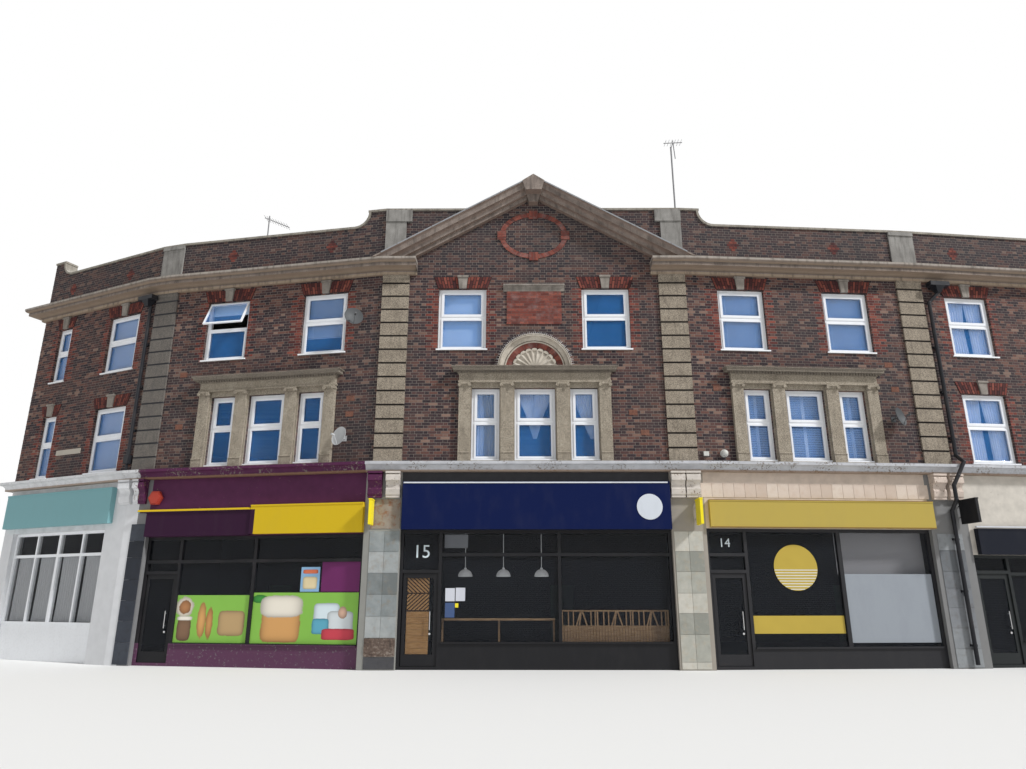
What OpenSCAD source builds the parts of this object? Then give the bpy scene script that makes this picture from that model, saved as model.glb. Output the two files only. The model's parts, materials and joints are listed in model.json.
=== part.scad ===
// Terrace of five shops wrapped round a street corner, with two storeys of flats above.
// The front is a chain of straight wall runs that bend at the quoins. Run 3 is the gabled centre.
// Origin: ground level, halfway between the middle of the centre front and the rear wall.
// X runs along the centre front, Y into the building.

/* [Plan] */
// Length of the gabled centre front, over both of its quoins
centre_w = 8190; // [7600:10:8800]
// Length of the front to the left of the centre
bay_left_w = 6200; // [5800:10:6600]
// Length of the front to the right of the centre
bay_right_w = 5950; // [5600:10:6400]
// Length of each end wing
wing_w = 5050; // [4800:10:5400]
// Width of a stone quoin strip
quoin_w = 720; // [600:10:800]
// Turn of the left front from the centre, in degrees
turn_left_bay = 10.7; // [5:0.1:14]
// Turn of the left quoin strip, in degrees
turn_left_quoin = 16; // [14:0.1:20]
// Turn of the left wing, in degrees
turn_left_wing = 24.5; // [20:0.1:28]
// Turn of the right front, in degrees
turn_right_bay = 4.3; // [2:0.1:5]
// Turn of the right quoin strip, in degrees
turn_right_quoin = 5.9; // [5:0.1:6.5]
// Turn of the right wing, in degrees
turn_right_wing = 7; // [6.5:0.1:12]
// Depth of the building from the centre front to the rear face
building_depth = 11000; // [9500:50:13000]
// Thickness of the front walls
wall_t = 330; // [300:5:400]
// Thickness of the party walls at both ends
end_wall_t = 225; // [200:5:330]
// Thickness of the rear wall
rear_wall_t = 330; // [250:5:400]

/* [Levels] */
// Level of the ground floor above the street
ground_slab_t = 60; // [40:5:80]
// Underside of the stone ledge above the shops
ledge_z = 4650; // [4550:10:4750]
// Height of the ledge
ledge_h = 240; // [200:5:280]
// Floor level of the first storey
first_floor_z = 4300; // [4200:10:4500]
// Floor level of the second storey
second_floor_z = 7250; // [7100:10:7400]
// Thickness of an upper floor
floor_t = 280; // [200:5:350]
// Sill level of the first storey windows
first_sill_z = 4950; // [4920:5:5050]
// Height of the first storey windows
first_window_h = 1900; // [1750:10:1950]
// Sill level of the second storey windows
second_sill_z = 7900; // [7850:5:8000]
// Height of the second storey windows
second_window_h = 1760; // [1600:10:1800]
// Underside of the main cornice
cornice_z = 10050; // [10020:10:10150]
// Height of the main cornice
cornice_h = 370; // [320:5:420]
// Height of the low parapet above the cornice
parapet_h = 1200; // [1000:10:1400]
// Extra height of the raised parapet in the middle and at the far ends
parapet_rise = 470; // [400:10:550]
// Height of the rear and end parapets above the main cornice
back_parapet_h = 450; // [300:10:700]
// Height of the parapet coping
coping_h = 60; // [40:5:80]
// Drop of the roof deck behind the parapets below the top of the main cornice
roof_drop = 20; // [0:5:60]
// Thickness of the roof deck
roof_t = 250; // [200:5:300]

/* [Pediment] */
// Pitch of the raking cornice, in degrees
pediment_pitch = 29.5; // [28:0.1:31]
// Height of the raking cornice apex above the top of the main cornice
pediment_h = 2460; // [2300:10:2600]
// Depth of the raking cornice, square to its slope
raking_h = 420; // [340:5:480]
// Height of the stone key at the apex
apex_key_h = 690; // [600:10:750]

/* [Stone dressings] */
// How far the quoin blocks stand out
quoin_d = 55; // [35:5:80]
// Number of quoin blocks
quoin_blocks = 13; // [10:1:16]
// Width of the channel between quoin blocks
quoin_channel = 36; // [20:2:50]
// How far the main cornice stands out
cornice_d = 450; // [380:5:520]
// How far the shop ledge stands out
ledge_d = 300; // [240:5:340]
// Height of a window keystone
keystone_h = 370; // [300:10:390]
// Width of a window keystone at its top
keystone_w = 270; // [200:5:320]

/* [Upper windows] */
// Width of a wide window
window_w = 1280; // [1150:10:1350]
// Width of the narrow window in each wing
narrow_window_w = 620; // [500:10:750]
// Distance between the upper windows of a side front
side_window_pitch = 2920; // [2600:10:3100]
// Distance between the upper windows of the centre
centre_window_pitch = 3850; // [3600:10:4100]
// Distance from the quoin strip to the wide window of a wing
wing_wide_inset = 670; // [500:10:800]
// Distance from the quoin strip to the narrow window of a wing
wing_narrow_inset = 3660; // [3300:10:3800]
// Width of the middle light of a three-light window
mid_light_w = 1050; // [900:10:1150]
// Width of each side light of a three-light window
side_light_w = 720; // [600:10:800]
// Width of the mullion pier between two lights
mullion_w = 390; // [340:10:450]
// Width of the outer pilaster of a three-light window
outer_pilaster_w = 330; // [260:10:380]
// Face width of a window frame
frame_w = 70; // [50:5:90]
// Depth of a window frame
frame_d = 75; // [60:5:100]
// How far a window frame sits back from the wall face
reveal_d = 90; // [60:5:130]
// Thickness of the glass
glass_t = 16; // [8:2:24]

/* [Shopfronts] */
// Depth of a shopfront frame
shop_frame_d = 110; // [90:5:140]
// How far a shopfront sits back from the wall face
shop_reveal = 120; // [80:5:160]
// Face width of a shopfront post or rail
shop_post_w = 80; // [60:5:100]
// Width of a shop door leaf
door_w = 860; // [780:10:900]
// Height of a shop door leaf
door_h = 2120; // [2000:10:2180]
// Thickness of a shop door leaf
door_t = 44; // [40:2:54]
// Running gap round a shop door leaf
door_gap = 6; // [5:0.5:10]
// Height of the threshold below a door
threshold_h = 70; // [65:5:100]
// Face width of the stiles of a shop door
stile_w = 95; // [80:5:120]
// Radius of the door pivot pins
pivot_r = 9; // [7:0.5:11]
// Running clearance of the pivot pins
pivot_clear = 0.3; // [0.2:0.05:0.4]
// Height of the left wing shopfront
head_1 = 3400; // [3200:10:3450]
// Height of the left front shopfront
head_2 = 3150; // [3050:10:3200]
// Height of the centre shopfront
head_3 = 3230; // [3150:10:3300]
// Height of the right front shopfront
head_4 = 3270; // [3150:10:3350]
// Height of the right wing shopfront
head_5 = 2660; // [2550:10:2800]

/* [Hidden] */
$fn = 48;

// Plan: lengths and turns of the wall runs from left to right, and the corner points between them
run_len = [wing_w, quoin_w, bay_left_w, centre_w, bay_right_w, quoin_w, wing_w];
run_turn = [-turn_left_wing, -turn_left_quoin, -turn_left_bay, 0,
            turn_right_bay, turn_right_quoin, turn_right_wing];
centre_run = 3;
front_y = -building_depth / 2;
rear_y = building_depth / 2;
rear_inner_y = rear_y - rear_wall_t;
last_run = len(run_len) - 1;
function dir(t) = [cos(t), sin(t)];
function outward(t) = [sin(t), -cos(t)];
function corner(k) =
  k == centre_run ? [-centre_w / 2, front_y] :
  k < centre_run ? corner(k + 1) - run_len[k] * dir(run_turn[k]) :
  corner(k - 1) + run_len[k - 1] * dir(run_turn[k - 1]);
corners = [for (k = [0 : last_run + 1]) corner(k)];

// Bedding gap between a dressing and the wall that carries it
seat = 0.2;

// Points along an arc from angle a0 to a1 in n steps
function arc_points(c, r, a0, a1, n) = [for (i = [0 : n]) c + r * dir(a0 + (a1 - a0) * i / n)];

// Half of the bend at a corner, and the corner moved out by d along the mitre
function half_bend(k) = k <= 0 || k > last_run ? 0 : (run_turn[k] - run_turn[k - 1]) / 2;
function mitre_turn(k) = k <= 0 ? run_turn[0] : k > last_run ? run_turn[last_run]
  : (run_turn[k] + run_turn[k - 1]) / 2;
function corner_out(k, d) = corners[k] + d / cos(half_bend(k)) * outward(mitre_turn(k));
function on_run(k, s, d) = corners[k] + s * dir(run_turn[k]) + d * outward(run_turn[k]);
// A point at s along run k, moved out by d; at the ends of a run it lies on the mitre
function edge_point(k, s, d) =
  s <= 0 ? corner_out(k, d) : s >= run_len[k] ? corner_out(k + 1, d) : on_run(k, s, d);

// Stations that a swept moulding passes: a point on the wall face and the way its profile points there
function at_corner(k) = [corners[k], outward(mitre_turn(k)) / cos(half_bend(k))];
function at_cut(k, s) = [on_run(k, s, 0), outward(run_turn[k])];
// Around the outer end of a wing the moulding turns the corner and stops on the party wall
function left_end_return(l) = [
  [corners[0] - l * outward(run_turn[0]), -dir(run_turn[0])],
  [corners[0], outward(run_turn[0]) - dir(run_turn[0])]
];
function right_end_return(l) = [
  [corners[last_run + 1], outward(run_turn[last_run]) + dir(run_turn[last_run])],
  [corners[last_run + 1] - l * outward(run_turn[last_run]), dir(run_turn[last_run])]
];

// Levels that follow from the driving ones
ledge_top = ledge_z + ledge_h;
cornice_top = cornice_z + cornice_h;
roof_z = cornice_top - roof_drop;
wall_top = cornice_top + parapet_h;
raised_top = wall_top + parapet_rise;
apex_z = cornice_top + pediment_h;
rise_ratio = tan(pediment_pitch);
rake_drop = raking_h / cos(pediment_pitch);
shoulder_x = (apex_z - raised_top) / rise_ratio;
ramp_r = parapet_rise;
ramp_lip = 20;
ramp_steps = 8;
ramp_span = ramp_r + ramp_lip;
ramp_inset = 440;

// Lengths that only the plan needs
left_slope = -tan(run_turn[0]);
right_slope = -tan(run_turn[last_run]);
function left_end_x(y, inset) = edge_point(0, 0, 0)[0] + inset / cos(run_turn[0])
  + (y - edge_point(0, 0, 0)[1]) * left_slope;
function right_end_x(y, inset) = corners[last_run + 1][0] - inset / cos(run_turn[last_run])
  + (y - corners[last_run + 1][1]) * right_slope;

// Shops: run, opening from and to along the run, head, sill and transom level, and mullion centres
pier_end_w = 410;
pier_wing_w = 740;
pier_reach = 90;
pier_centre_w = quoin_w + 40;
shop_run = [0, 2, 3, 4, 6];
shop_from = [pier_end_w, 30, pier_centre_w, pier_reach, 200];
shop_to = [wing_w - pier_wing_w, bay_left_w - pier_reach - 60, centre_w - pier_centre_w, bay_right_w - pier_reach,
           wing_w - pier_end_w];
shop_head = [head_1, head_2, head_3, head_4, head_5];
shop_sill = [1000, 550, 620, 500, 620];
shop_transom = [2760, 2520, 2640, 2640, 2200];
door_opening_w = door_w + 2 * door_gap;
door_opening_h = door_h + door_gap + threshold_h + door_gap;
door_line = shop_post_w + door_opening_w;
function shop_w(i) = shop_to[i] - shop_from[i];
// Columns of glass: from and to, measured from the left side of each shopfront
thin_post_w = 60;
double_post_w = 100;
function even_columns(from, to, n, post) = let (w = (to - from - (n - 1) * post) / n)
  [for (c = [0 : n - 1]) [from + c * (w + post), from + c * (w + post) + w]];
window_from = door_line + shop_post_w;
shop_columns = [
  concat(even_columns(shop_post_w, shop_w(0) / 2 - double_post_w / 2, 2, thin_post_w),
         even_columns(shop_w(0) / 2 + double_post_w / 2, shop_w(0) - shop_post_w, 2, thin_post_w)),
  [[window_from, shop_w(1) * 0.508], [shop_w(1) * 0.508 + shop_post_w, shop_w(1) - shop_post_w]],
  [[window_from, shop_w(2) * 0.579], [shop_w(2) * 0.579 + shop_post_w, shop_w(2) - shop_post_w]],
  [[window_from, shop_w(3) * 0.577], [shop_w(3) * 0.577 + double_post_w, shop_w(3) - shop_post_w]],
  even_columns(window_from, shop_w(4) - shop_post_w, 2, shop_post_w)
];
shop_has_door = [false, true, true, true, true];
// Where the transom bar crosses the lights of a shopfront, and where it crosses the light over the door
transom_in_window = [true, true, true, false, true];
transom_over_door = [false, true, false, true, false];
// Panes of one column of a shopfront between two levels, as [x, z, width, height]
function column_lights(i, x, w, z_low, split) = let (z_top = shop_head[i] - shop_post_w, bar = shop_post_w / 2)
  split
    ? [[x, z_low, w, shop_transom[i] - bar - z_low],
       [x, shop_transom[i] + bar, w, z_top - shop_transom[i] - bar]]
    : [[x, z_low, w, z_top - z_low]];
function shop_lights(i) = concat(
  [for (c = shop_columns[i], l = column_lights(i, c[0], c[1] - c[0], shop_sill[i], transom_in_window[i])) l],
  shop_has_door[i]
    ? column_lights(i, shop_post_w, door_opening_w, door_opening_h + shop_post_w, transom_over_door[i])
    : []
);

// Upper windows as [run, centre along the run, width]
wide_in_left = wing_w - wing_wide_inset - window_w / 2;
narrow_in_left = wing_w - wing_narrow_inset - narrow_window_w / 2;
wing_windows = [
  [0, wide_in_left, window_w], [0, narrow_in_left, narrow_window_w],
  [last_run, wing_w - wide_in_left, window_w], [last_run, wing_w - narrow_in_left, narrow_window_w]
];
second_windows = concat(wing_windows, [
  for (side = [-1, 1]) each [
    [2, bay_left_w / 2 + side * side_window_pitch / 2, window_w],
    [centre_run, centre_w / 2 + side * centre_window_pitch / 2, window_w],
    [4, bay_right_w / 2 + side * side_window_pitch / 2, window_w]
  ]
]);
light_offset = mid_light_w / 2 + mullion_w + side_light_w / 2;
surround_runs = [2, centre_run, 4];
three_lights = [
  for (k = surround_runs) each [
    [k, run_len[k] / 2 - light_offset, side_light_w],
    [k, run_len[k] / 2, mid_light_w],
    [k, run_len[k] / 2 + light_offset, side_light_w]
  ]
];
first_windows = concat(wing_windows, three_lights);
// Rear windows: centres along X, the same on both upper storeys
rear_pitch = 2700;
rear_window_x = [for (i = [-4.5 : 1 : 4.5]) i * rear_pitch];
rear_x_shift = (left_end_x(rear_y, 0) + right_end_x(rear_y, 0)) / 2;
rear_door_x = [for (i = [-4 : 2 : 4]) i * rear_pitch + rear_x_shift];
rear_door_w = 900;
rear_door_h = 2050;
surround_w = mid_light_w + 2 * mullion_w + 2 * side_light_w + 2 * outer_pilaster_w;

// A length larger than any piece of the building, for cutting tools
reach = 2000;

// A block that fills the space past the mitre at a corner: side is 1 for the run that ends there
module mitre_cutter(k, side) {
  translate([corners[k][0], corners[k][1], 0])
    rotate([0, 0, mitre_turn(k)])
      translate([side > 0 ? -seat : seat - 3 * reach, -reach, 0])
        cube([3 * reach, 2 * reach, 8 * reach]);
}

// Places children in the frame of a wall run: x along the run, y into the wall, z up
module at_run(k, s = 0) {
  translate([corners[k][0], corners[k][1], 0])
    rotate([0, 0, run_turn[k]])
      translate([s, 0, 0])
        children();
}

// Places children on the face of a wall run, bedded on it
module on_wall(k, s = 0) {
  at_run(k, s)
    translate([0, -seat, 0])
      children();
}

// Draws an outline of [out, height] points along a wall run for a length w
module profile_bar(w) {
  rotate([90, 0, 90])
    linear_extrude(w)
      mirror([1, 0])
        children();
}

// Stands an outline of [along, height] points up against a wall, d thick
module face_plate(d) {
  rotate([90, 0, 0])
    linear_extrude(d)
      children();
}

// Stands a flat outline up in the middle of the centre front, with its back at y = back
module centre_face(z, back) {
  at_run(centre_run, centre_w / 2)
    translate([0, back, z])
      rotate([90, 0, 0])
        children();
}

// A band of wall that follows the plan, from s_a on run a to s_b on run b
module wall_band(a, s_a, b, s_b, front, back, z_low, z_high) {
  outer = concat([edge_point(a, s_a, front)],
                 b > a ? [for (k = [a + 1 : b]) corner_out(k, front)] : [],
                 [edge_point(b, s_b, front)]);
  inner = concat([edge_point(b, s_b, -back)],
                 b > a ? [for (k = [b : -1 : a + 1]) corner_out(k, -back)] : [],
                 [edge_point(a, s_a, -back)]);
  translate([0, 0, z_low])
    linear_extrude(z_high - z_low)
      polygon(concat(outer, inner));
}

// Floor outline inside the walls
module inside_outline() {
  front = [for (k = [1 : last_run]) corner_out(k, -wall_t - seat)];
  side = end_wall_t + seat;
  back = rear_inner_y - seat;
  polygon(concat([on_run(0, side, -wall_t - seat)], front,
                 [on_run(last_run, wing_w - side, -wall_t - seat)],
                 [[right_end_x(back, side), back], [left_end_x(back, side), back]]));
}

module slab(top, thickness) {
  translate([0, 0, top - thickness])
    linear_extrude(thickness)
      inside_outline();
}

// A moulding swept along the plan with mitred corners, from its profile points [out, height]
module swept_moulding(stations, profile) {
  n = len(profile);
  m = len(stations);
  points = [for (s = stations, p = profile) [s[0][0] + p[0] * s[1][0], s[0][1] + p[0] * s[1][1], p[1]]];
  sides = [for (i = [0 : m - 2], j = [0 : n - 1])
    [i * n + j, i * n + (j + 1) % n, (i + 1) * n + (j + 1) % n, (i + 1) * n + j]];
  first_cap = [for (j = [n - 1 : -1 : 0]) j];
  last_cap = [for (j = [0 : n - 1]) (m - 1) * n + j];
  polyhedron(points, concat(sides, [first_cap, last_cap]));
}

// A moulding on one run: the children are its profile, with x outward from the wall and y up
module moulded_run(k, s_from, s_to, bend_from, bend_to) {
  on_wall(k)
    difference() {
      translate([s_from - reach, 0, 0])
        rotate([90, 0, 90])
          linear_extrude(s_to - s_from + 2 * reach)
            mirror([1, 0])
              children();
      translate([s_from, 0, 0])
        rotate([0, 0, -bend_from])
          translate([-3 * reach, -reach, -reach])
            cube([3 * reach, 2 * reach, 8 * reach]);
      translate([s_to, 0, 0])
        rotate([0, 0, bend_to])
          translate([0, -reach, -reach])
            cube([3 * reach, 2 * reach, 8 * reach]);
    }
}

// Window openings through a wall run, from the lists of windows
module window_holes(k, windows, sill, height) {
  for (w = windows)
    if (w[0] == k)
      at_run(k, w[1] - w[2] / 2)
        translate([0, -reach / 2, sill])
          cube([w[2], reach, height]);
}

module upper_wall(a, b, top) {
  difference() {
    wall_band(a, 0, b, run_len[b], 0, wall_t, ledge_z, top);
    for (k = [a : b]) {
      window_holes(k, first_windows, first_sill_z, first_window_h);
      window_holes(k, second_windows, second_sill_z, second_window_h);
    }
  }
}

// The ground floor runs on between the piers to the back of each shopfront
slab_lap = 40;
slab_edge = 1;
module ground_floor() {
  color("dimgray") {
    slab(ground_slab_t, ground_slab_t);
    for (i = [0 : 4])
      wall_band(shop_run[i], shop_from[i] + slab_edge, shop_run[i], shop_to[i] - slab_edge,
                -shop_reveal - shop_frame_d - seat, wall_t + slab_lap, 0, ground_slab_t);
  }
}

module first_floor() {
  color("burlywood") slab(first_floor_z, floor_t);
}

module second_floor() {
  color("burlywood") slab(second_floor_z, floor_t);
}

module roof_deck() {
  color("slategray") slab(roof_z, roof_t);
}

module wing_wall_left() {
  color("rosybrown") upper_wall(0, 1, cornice_top);
}

module bay_wall_left() {
  color("rosybrown") upper_wall(2, 2, cornice_top);
}

module bay_wall_right() {
  color("rosybrown") upper_wall(4, 4, cornice_top);
}

module wing_wall_right() {
  color("rosybrown") upper_wall(5, 6, cornice_top);
}

// The centre wall runs up into the raised parapet and the gable behind the raking cornice
module centre_wall() {
  shoulder_z = raised_top - coping_h;
  color("rosybrown") {
    upper_wall(centre_run, centre_run, shoulder_z);
    centre_face(0, wall_t)
      linear_extrude(wall_t)
        polygon([[-shoulder_x, shoulder_z], [shoulder_x, shoulder_z], [0, apex_z - coping_h]]);
  }
}

// Party walls: square to the end wings, from behind the front wall to the rear wall
module end_wall_left() {
  color("rosybrown")
    linear_extrude(cornice_top + back_parapet_h)
      polygon([on_run(0, 0, -wall_t - seat), on_run(0, end_wall_t, -wall_t - seat),
               [left_end_x(rear_inner_y, end_wall_t), rear_inner_y],
               [left_end_x(rear_inner_y, 0), rear_inner_y]]);
}

module end_wall_right() {
  color("rosybrown")
    linear_extrude(cornice_top + back_parapet_h)
      polygon([on_run(last_run, wing_w - end_wall_t, -wall_t - seat), on_run(last_run, wing_w, -wall_t - seat),
               [right_end_x(rear_inner_y, 0), rear_inner_y],
               [right_end_x(rear_inner_y, end_wall_t), rear_inner_y]]);
}

module rear_opening(x, sill, w, h) {
  translate([x - w / 2, rear_inner_y - reach / 2, sill])
    cube([w, reach * 2, h]);
}

module rear_wall() {
  color("rosybrown")
    difference() {
      linear_extrude(cornice_top + back_parapet_h)
        polygon([[left_end_x(rear_inner_y, 0), rear_inner_y],
                 [right_end_x(rear_inner_y, 0), rear_inner_y],
                 [right_end_x(rear_y, 0), rear_y],
                 [left_end_x(rear_y, 0), rear_y]]);
      for (x = rear_window_x) {
        rear_opening(x + rear_x_shift, first_sill_z, window_w, first_window_h);
        rear_opening(x + rear_x_shift, second_sill_z, window_w, second_window_h);
      }
      for (x = rear_door_x)
        rear_opening(x, ground_slab_t, rear_door_w, rear_door_h);
    }
}

// Piers between the shops, from the ground to the ledge
module shop_piers() {
  color("lightgray") {
    wall_band(0, 0, 0, shop_from[0], 0, wall_t, 0, ledge_z);
    wall_band(0, shop_to[0], 2, shop_from[1], 0, wall_t, 0, ledge_z);
    wall_band(2, shop_to[1], 3, shop_from[2], 0, wall_t, 0, ledge_z);
    wall_band(3, shop_to[2], 4, shop_from[3], 0, wall_t, 0, ledge_z);
    wall_band(4, shop_to[3], 6, shop_from[4], 0, wall_t, 0, ledge_z);
    wall_band(6, shop_to[4], 6, wing_w, 0, wall_t, 0, ledge_z);
  }
}

module shop_beams() {
  color("gainsboro")
    for (i = [0 : 4])
      wall_band(shop_run[i], shop_from[i], shop_run[i], shop_to[i], 0, wall_t, shop_head[i], ledge_z);
}

// Profile of the ledge over the shops: soffit, cove and top fillet
ledge_fillet_h = ledge_h * 0.3;
ledge_cove_r = ledge_h * 0.5;
ledge_nose = 30;
ledge_profile = concat(
  [[0, ledge_z], [ledge_d - ledge_cove_r - ledge_nose, ledge_z]],
  arc_points([ledge_d - ledge_nose, ledge_top - ledge_fillet_h - ledge_cove_r], ledge_cove_r, 180, 90, 5),
  [[ledge_d, ledge_top - ledge_fillet_h], [ledge_d, ledge_top], [0, ledge_top]]
);

module shop_ledge() {
  color("lightsteelblue")
    swept_moulding(concat(left_end_return(wall_t), [for (k = [1 : last_run]) at_corner(k)],
                          right_end_return(wall_t)),
                   ledge_profile);
}

// Profile of the main cornice: bed mould, cove, corona and cap
bed_h = cornice_h * 0.14;
bed_d = cornice_d * 0.2;
cornice_cove_r = cornice_h * 0.26;
corona_h = cornice_h * 0.26;
corona_d = cornice_d * 0.8;
cap_r = cornice_d - corona_d;
cap_z = cornice_z + bed_h + cornice_cove_r + corona_h;
cornice_profile = concat(
  [[0, cornice_z], [bed_d, cornice_z]],
  arc_points([bed_d + cornice_cove_r, cornice_z + bed_h], cornice_cove_r, 180, 90, 5),
  [[corona_d, cornice_z + bed_h + cornice_cove_r], [corona_d, cap_z]],
  arc_points([corona_d, cap_z + cap_r], cap_r, -90, 0, 5),
  [[cornice_d, cornice_top], [0, cornice_top]]
);

// The cornice stops a little way past the centre quoins, where the gable takes over
cornice_return = quoin_w + 200;
module main_cornice() {
  color("tan") {
    swept_moulding(concat(left_end_return(wall_t), [for (k = [1 : centre_run]) at_corner(k)],
                          [at_cut(centre_run, cornice_return)]),
                   cornice_profile);
    swept_moulding(concat([at_cut(centre_run, centre_w - cornice_return)],
                          [for (k = [centre_run + 1 : last_run]) at_corner(k)],
                          right_end_return(wall_t)),
                   cornice_profile);
  }
}

// Profile of the raking cornice as [out, drop], with the drop square to the slope from its top edge
rake_cove_r = raking_h * 0.16;
rake_bed_r = raking_h * 0.2;
rake_face = cornice_d - rake_cove_r;
rake_neck = rake_face - 60;
rake_outline = concat(
  [[0, 0], [cornice_d, 0]],
  arc_points([cornice_d, -raking_h * 0.1 - rake_cove_r], rake_cove_r, 90, 180, 5),
  [[rake_face, -raking_h * 0.46], [rake_neck + 1, -raking_h * 0.46]],
  arc_points([rake_neck, -raking_h * 0.48 - rake_bed_r], rake_bed_r, 90, 180, 5),
  [[rake_neck - rake_bed_r, -raking_h * 0.76], [cornice_d * 0.3, -raking_h * 0.76],
   [cornice_d * 0.3, -raking_h], [0, -raking_h]]
);

module raking_side() {
  half_w = centre_w / 2 + cornice_d * 0.55;
  intersection() {
    translate([0, 0, apex_z])
      rotate([0, pediment_pitch, 0])
        translate([-reach, 0, 0])
          profile_bar(half_w + 2 * reach)
            polygon(rake_outline);
    translate([0, -reach, cornice_top])
      cube([half_w, reach, 2 * reach]);
  }
}

// Stone key at the apex: a wide block over the cornice and a tapered foot under it
key_w = 600;
key_neck_w = 440;
key_foot_w = 250;
key_proud = 30;
module apex_key() {
  neck_z = apex_z - rake_drop + key_proud;
  centre_face(0, 0) {
    linear_extrude(cornice_d + key_proud)
      polygon([[-key_w / 2, apex_z - key_w / 2 * rise_ratio], [0, apex_z + key_proud],
               [key_w / 2, apex_z - key_w / 2 * rise_ratio], [key_neck_w / 2, neck_z],
               [-key_neck_w / 2, neck_z]]);
    linear_extrude(cornice_d / 2)
      polygon([[-key_neck_w * 0.42, neck_z + 1], [key_neck_w * 0.42, neck_z + 1],
               [key_foot_w / 2, apex_z - apex_key_h], [-key_foot_w / 2, apex_z - apex_key_h]]);
  }
}

module pediment_cornice() {
  color("tan") {
    at_run(centre_run, centre_w / 2) {
      raking_side();
      mirror([1, 0, 0]) raking_side();
    }
    apex_key();
  }
}

// Low parapets over the side fronts and wings
module parapet_left() {
  color("rosybrown")
    wall_band(0, 0, 2, bay_left_w, 0, wall_t, cornice_top, wall_top - coping_h);
}

module parapet_right() {
  color("rosybrown")
    wall_band(4, 0, 6, wing_w, 0, wall_t, cornice_top, wall_top - coping_h);
}

// Edge of a ramp's curve, ending where it comes down to the bedding joint
end_block_w = 400;
function ramp_edge(arc) = let (a = arc[ramp_steps - 1], b = arc[ramp_steps])
  concat([for (i = [0 : ramp_steps - 1]) [arc[i][0], min(arc[i][1], parapet_rise - seat)]],
         [a + (b - a) * (a[1] - seat) / (a[1] - b[1])]);

// Raised end of a parapet with a concave ramp down to the low part; toward is 1 for a ramp to the right
module raised_end(k, s_from, s_to, toward) {
  s_high = toward > 0 ? s_to : s_from;
  s_far = toward > 0 ? s_from : s_to;
  edge = ramp_edge(arc_points([ramp_span, parapet_rise], ramp_r + seat, 180, 270, ramp_steps));
  at_run(k)
    translate([0, wall_t, wall_top - coping_h])
      rotate([90, 0, 0])
        linear_extrude(wall_t)
          polygon(concat(
            [[s_far, seat], [s_far, parapet_rise - seat]],
            [for (p = edge) [s_high + toward * p[0], p[1]]]
          ));
}

module parapet_ramps() {
  color("rosybrown") {
    raised_end(0, 0, end_block_w, 1);
    difference() {
      raised_end(2, bay_left_w - ramp_inset, bay_left_w, -1);
      mitre_cutter(3, 1);
    }
    difference() {
      raised_end(4, 0, ramp_inset, 1);
      mitre_cutter(4, -1);
    }
    raised_end(6, wing_w - end_block_w, wing_w, -1);
  }
}

coping_over = 40;
module coping_band(a, s_a, b, s_b, top) {
  wall_band(a, s_a, b, s_b, coping_over, wall_t + coping_over, top - coping_h, top);
}

// Coping on the curve of a ramp; s is where the raised part ends
module ramp_coping(k, s, toward) {
  centre = [ramp_span, parapet_rise];
  curve = concat(arc_points(centre, ramp_r, 180, 270, ramp_steps),
                 arc_points(centre, ramp_r - coping_h, 270, 180, ramp_steps));
  at_run(k)
    translate([0, wall_t + coping_over, wall_top - coping_h])
      face_plate(wall_t + 2 * coping_over)
        polygon([for (p = curve) [s + toward * p[0], p[1]]]);
}

module gable_coping() {
  face_plate(wall_t + coping_over)
    polygon([[0, apex_z], [shoulder_x, raised_top],
             [shoulder_x, raised_top - coping_h], [0, apex_z - coping_h]]);
}

// Coping on the lower parapets over the party walls and the rear wall
back_top = cornice_top + back_parapet_h;
module back_coping() {
  o = coping_over;
  f = -wall_t - seat;
  translate([0, 0, back_top])
    linear_extrude(coping_h)
      polygon([
        on_run(0, -o, f), [left_end_x(rear_y + o, -o), rear_y + o],
        [right_end_x(rear_y + o, -o), rear_y + o], on_run(last_run, wing_w + o, f),
        on_run(last_run, wing_w - end_wall_t - o, f),
        [right_end_x(rear_inner_y - o, end_wall_t + o), rear_inner_y - o],
        [left_end_x(rear_inner_y - o, end_wall_t + o), rear_inner_y - o],
        on_run(0, end_wall_t + o, f)
      ]);
}

// The raised copings run over the top of each ramp and stop against the gable
coping_clear = coping_h / rise_ratio + 10;
coping_lap = ramp_lip + coping_h + 20;
module parapet_copings() {
  color("silver") {
    coping_band(0, end_block_w + ramp_span + seat, 2, bay_left_w - ramp_inset - ramp_span - seat, wall_top);
    coping_band(4, ramp_inset + ramp_span + seat, 6, wing_w - end_block_w - ramp_span - seat, wall_top);
    coping_band(0, 0, 0, end_block_w + coping_lap, raised_top);
    coping_band(6, wing_w - end_block_w - coping_lap, 6, wing_w, raised_top);
    ramp_coping(0, end_block_w, 1);
    ramp_coping(2, bay_left_w - ramp_inset, -1);
    ramp_coping(4, ramp_inset, 1);
    ramp_coping(6, wing_w - end_block_w, -1);
    at_run(centre_run, centre_w / 2)
      translate([0, wall_t + coping_over, 0]) {
        gable_coping();
        mirror([1, 0, 0]) gable_coping();
      }
    coping_band(2, bay_left_w - ramp_inset - coping_lap, 3, centre_w / 2 - shoulder_x - coping_clear,
                raised_top);
    coping_band(3, centre_w / 2 + shoulder_x + coping_clear, 4, ramp_inset + coping_lap, raised_top);
    back_coping();
  }
}

// Rendered piers on the parapets over the quoins, each with a wider cap
pier_d = 45;
pier_cap_d = 75;
pier_cap_h = 420;
pier_neck_w = 570;
small_cap_h = 110;
module quoin_pier(k) {
  wall_band(k, 0, k, quoin_w, pier_d, -seat, cornice_top, wall_top - coping_h - small_cap_h);
  wall_band(k, 0, k, quoin_w, pier_cap_d, -seat, wall_top - coping_h - small_cap_h, wall_top - coping_h);
}

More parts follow.
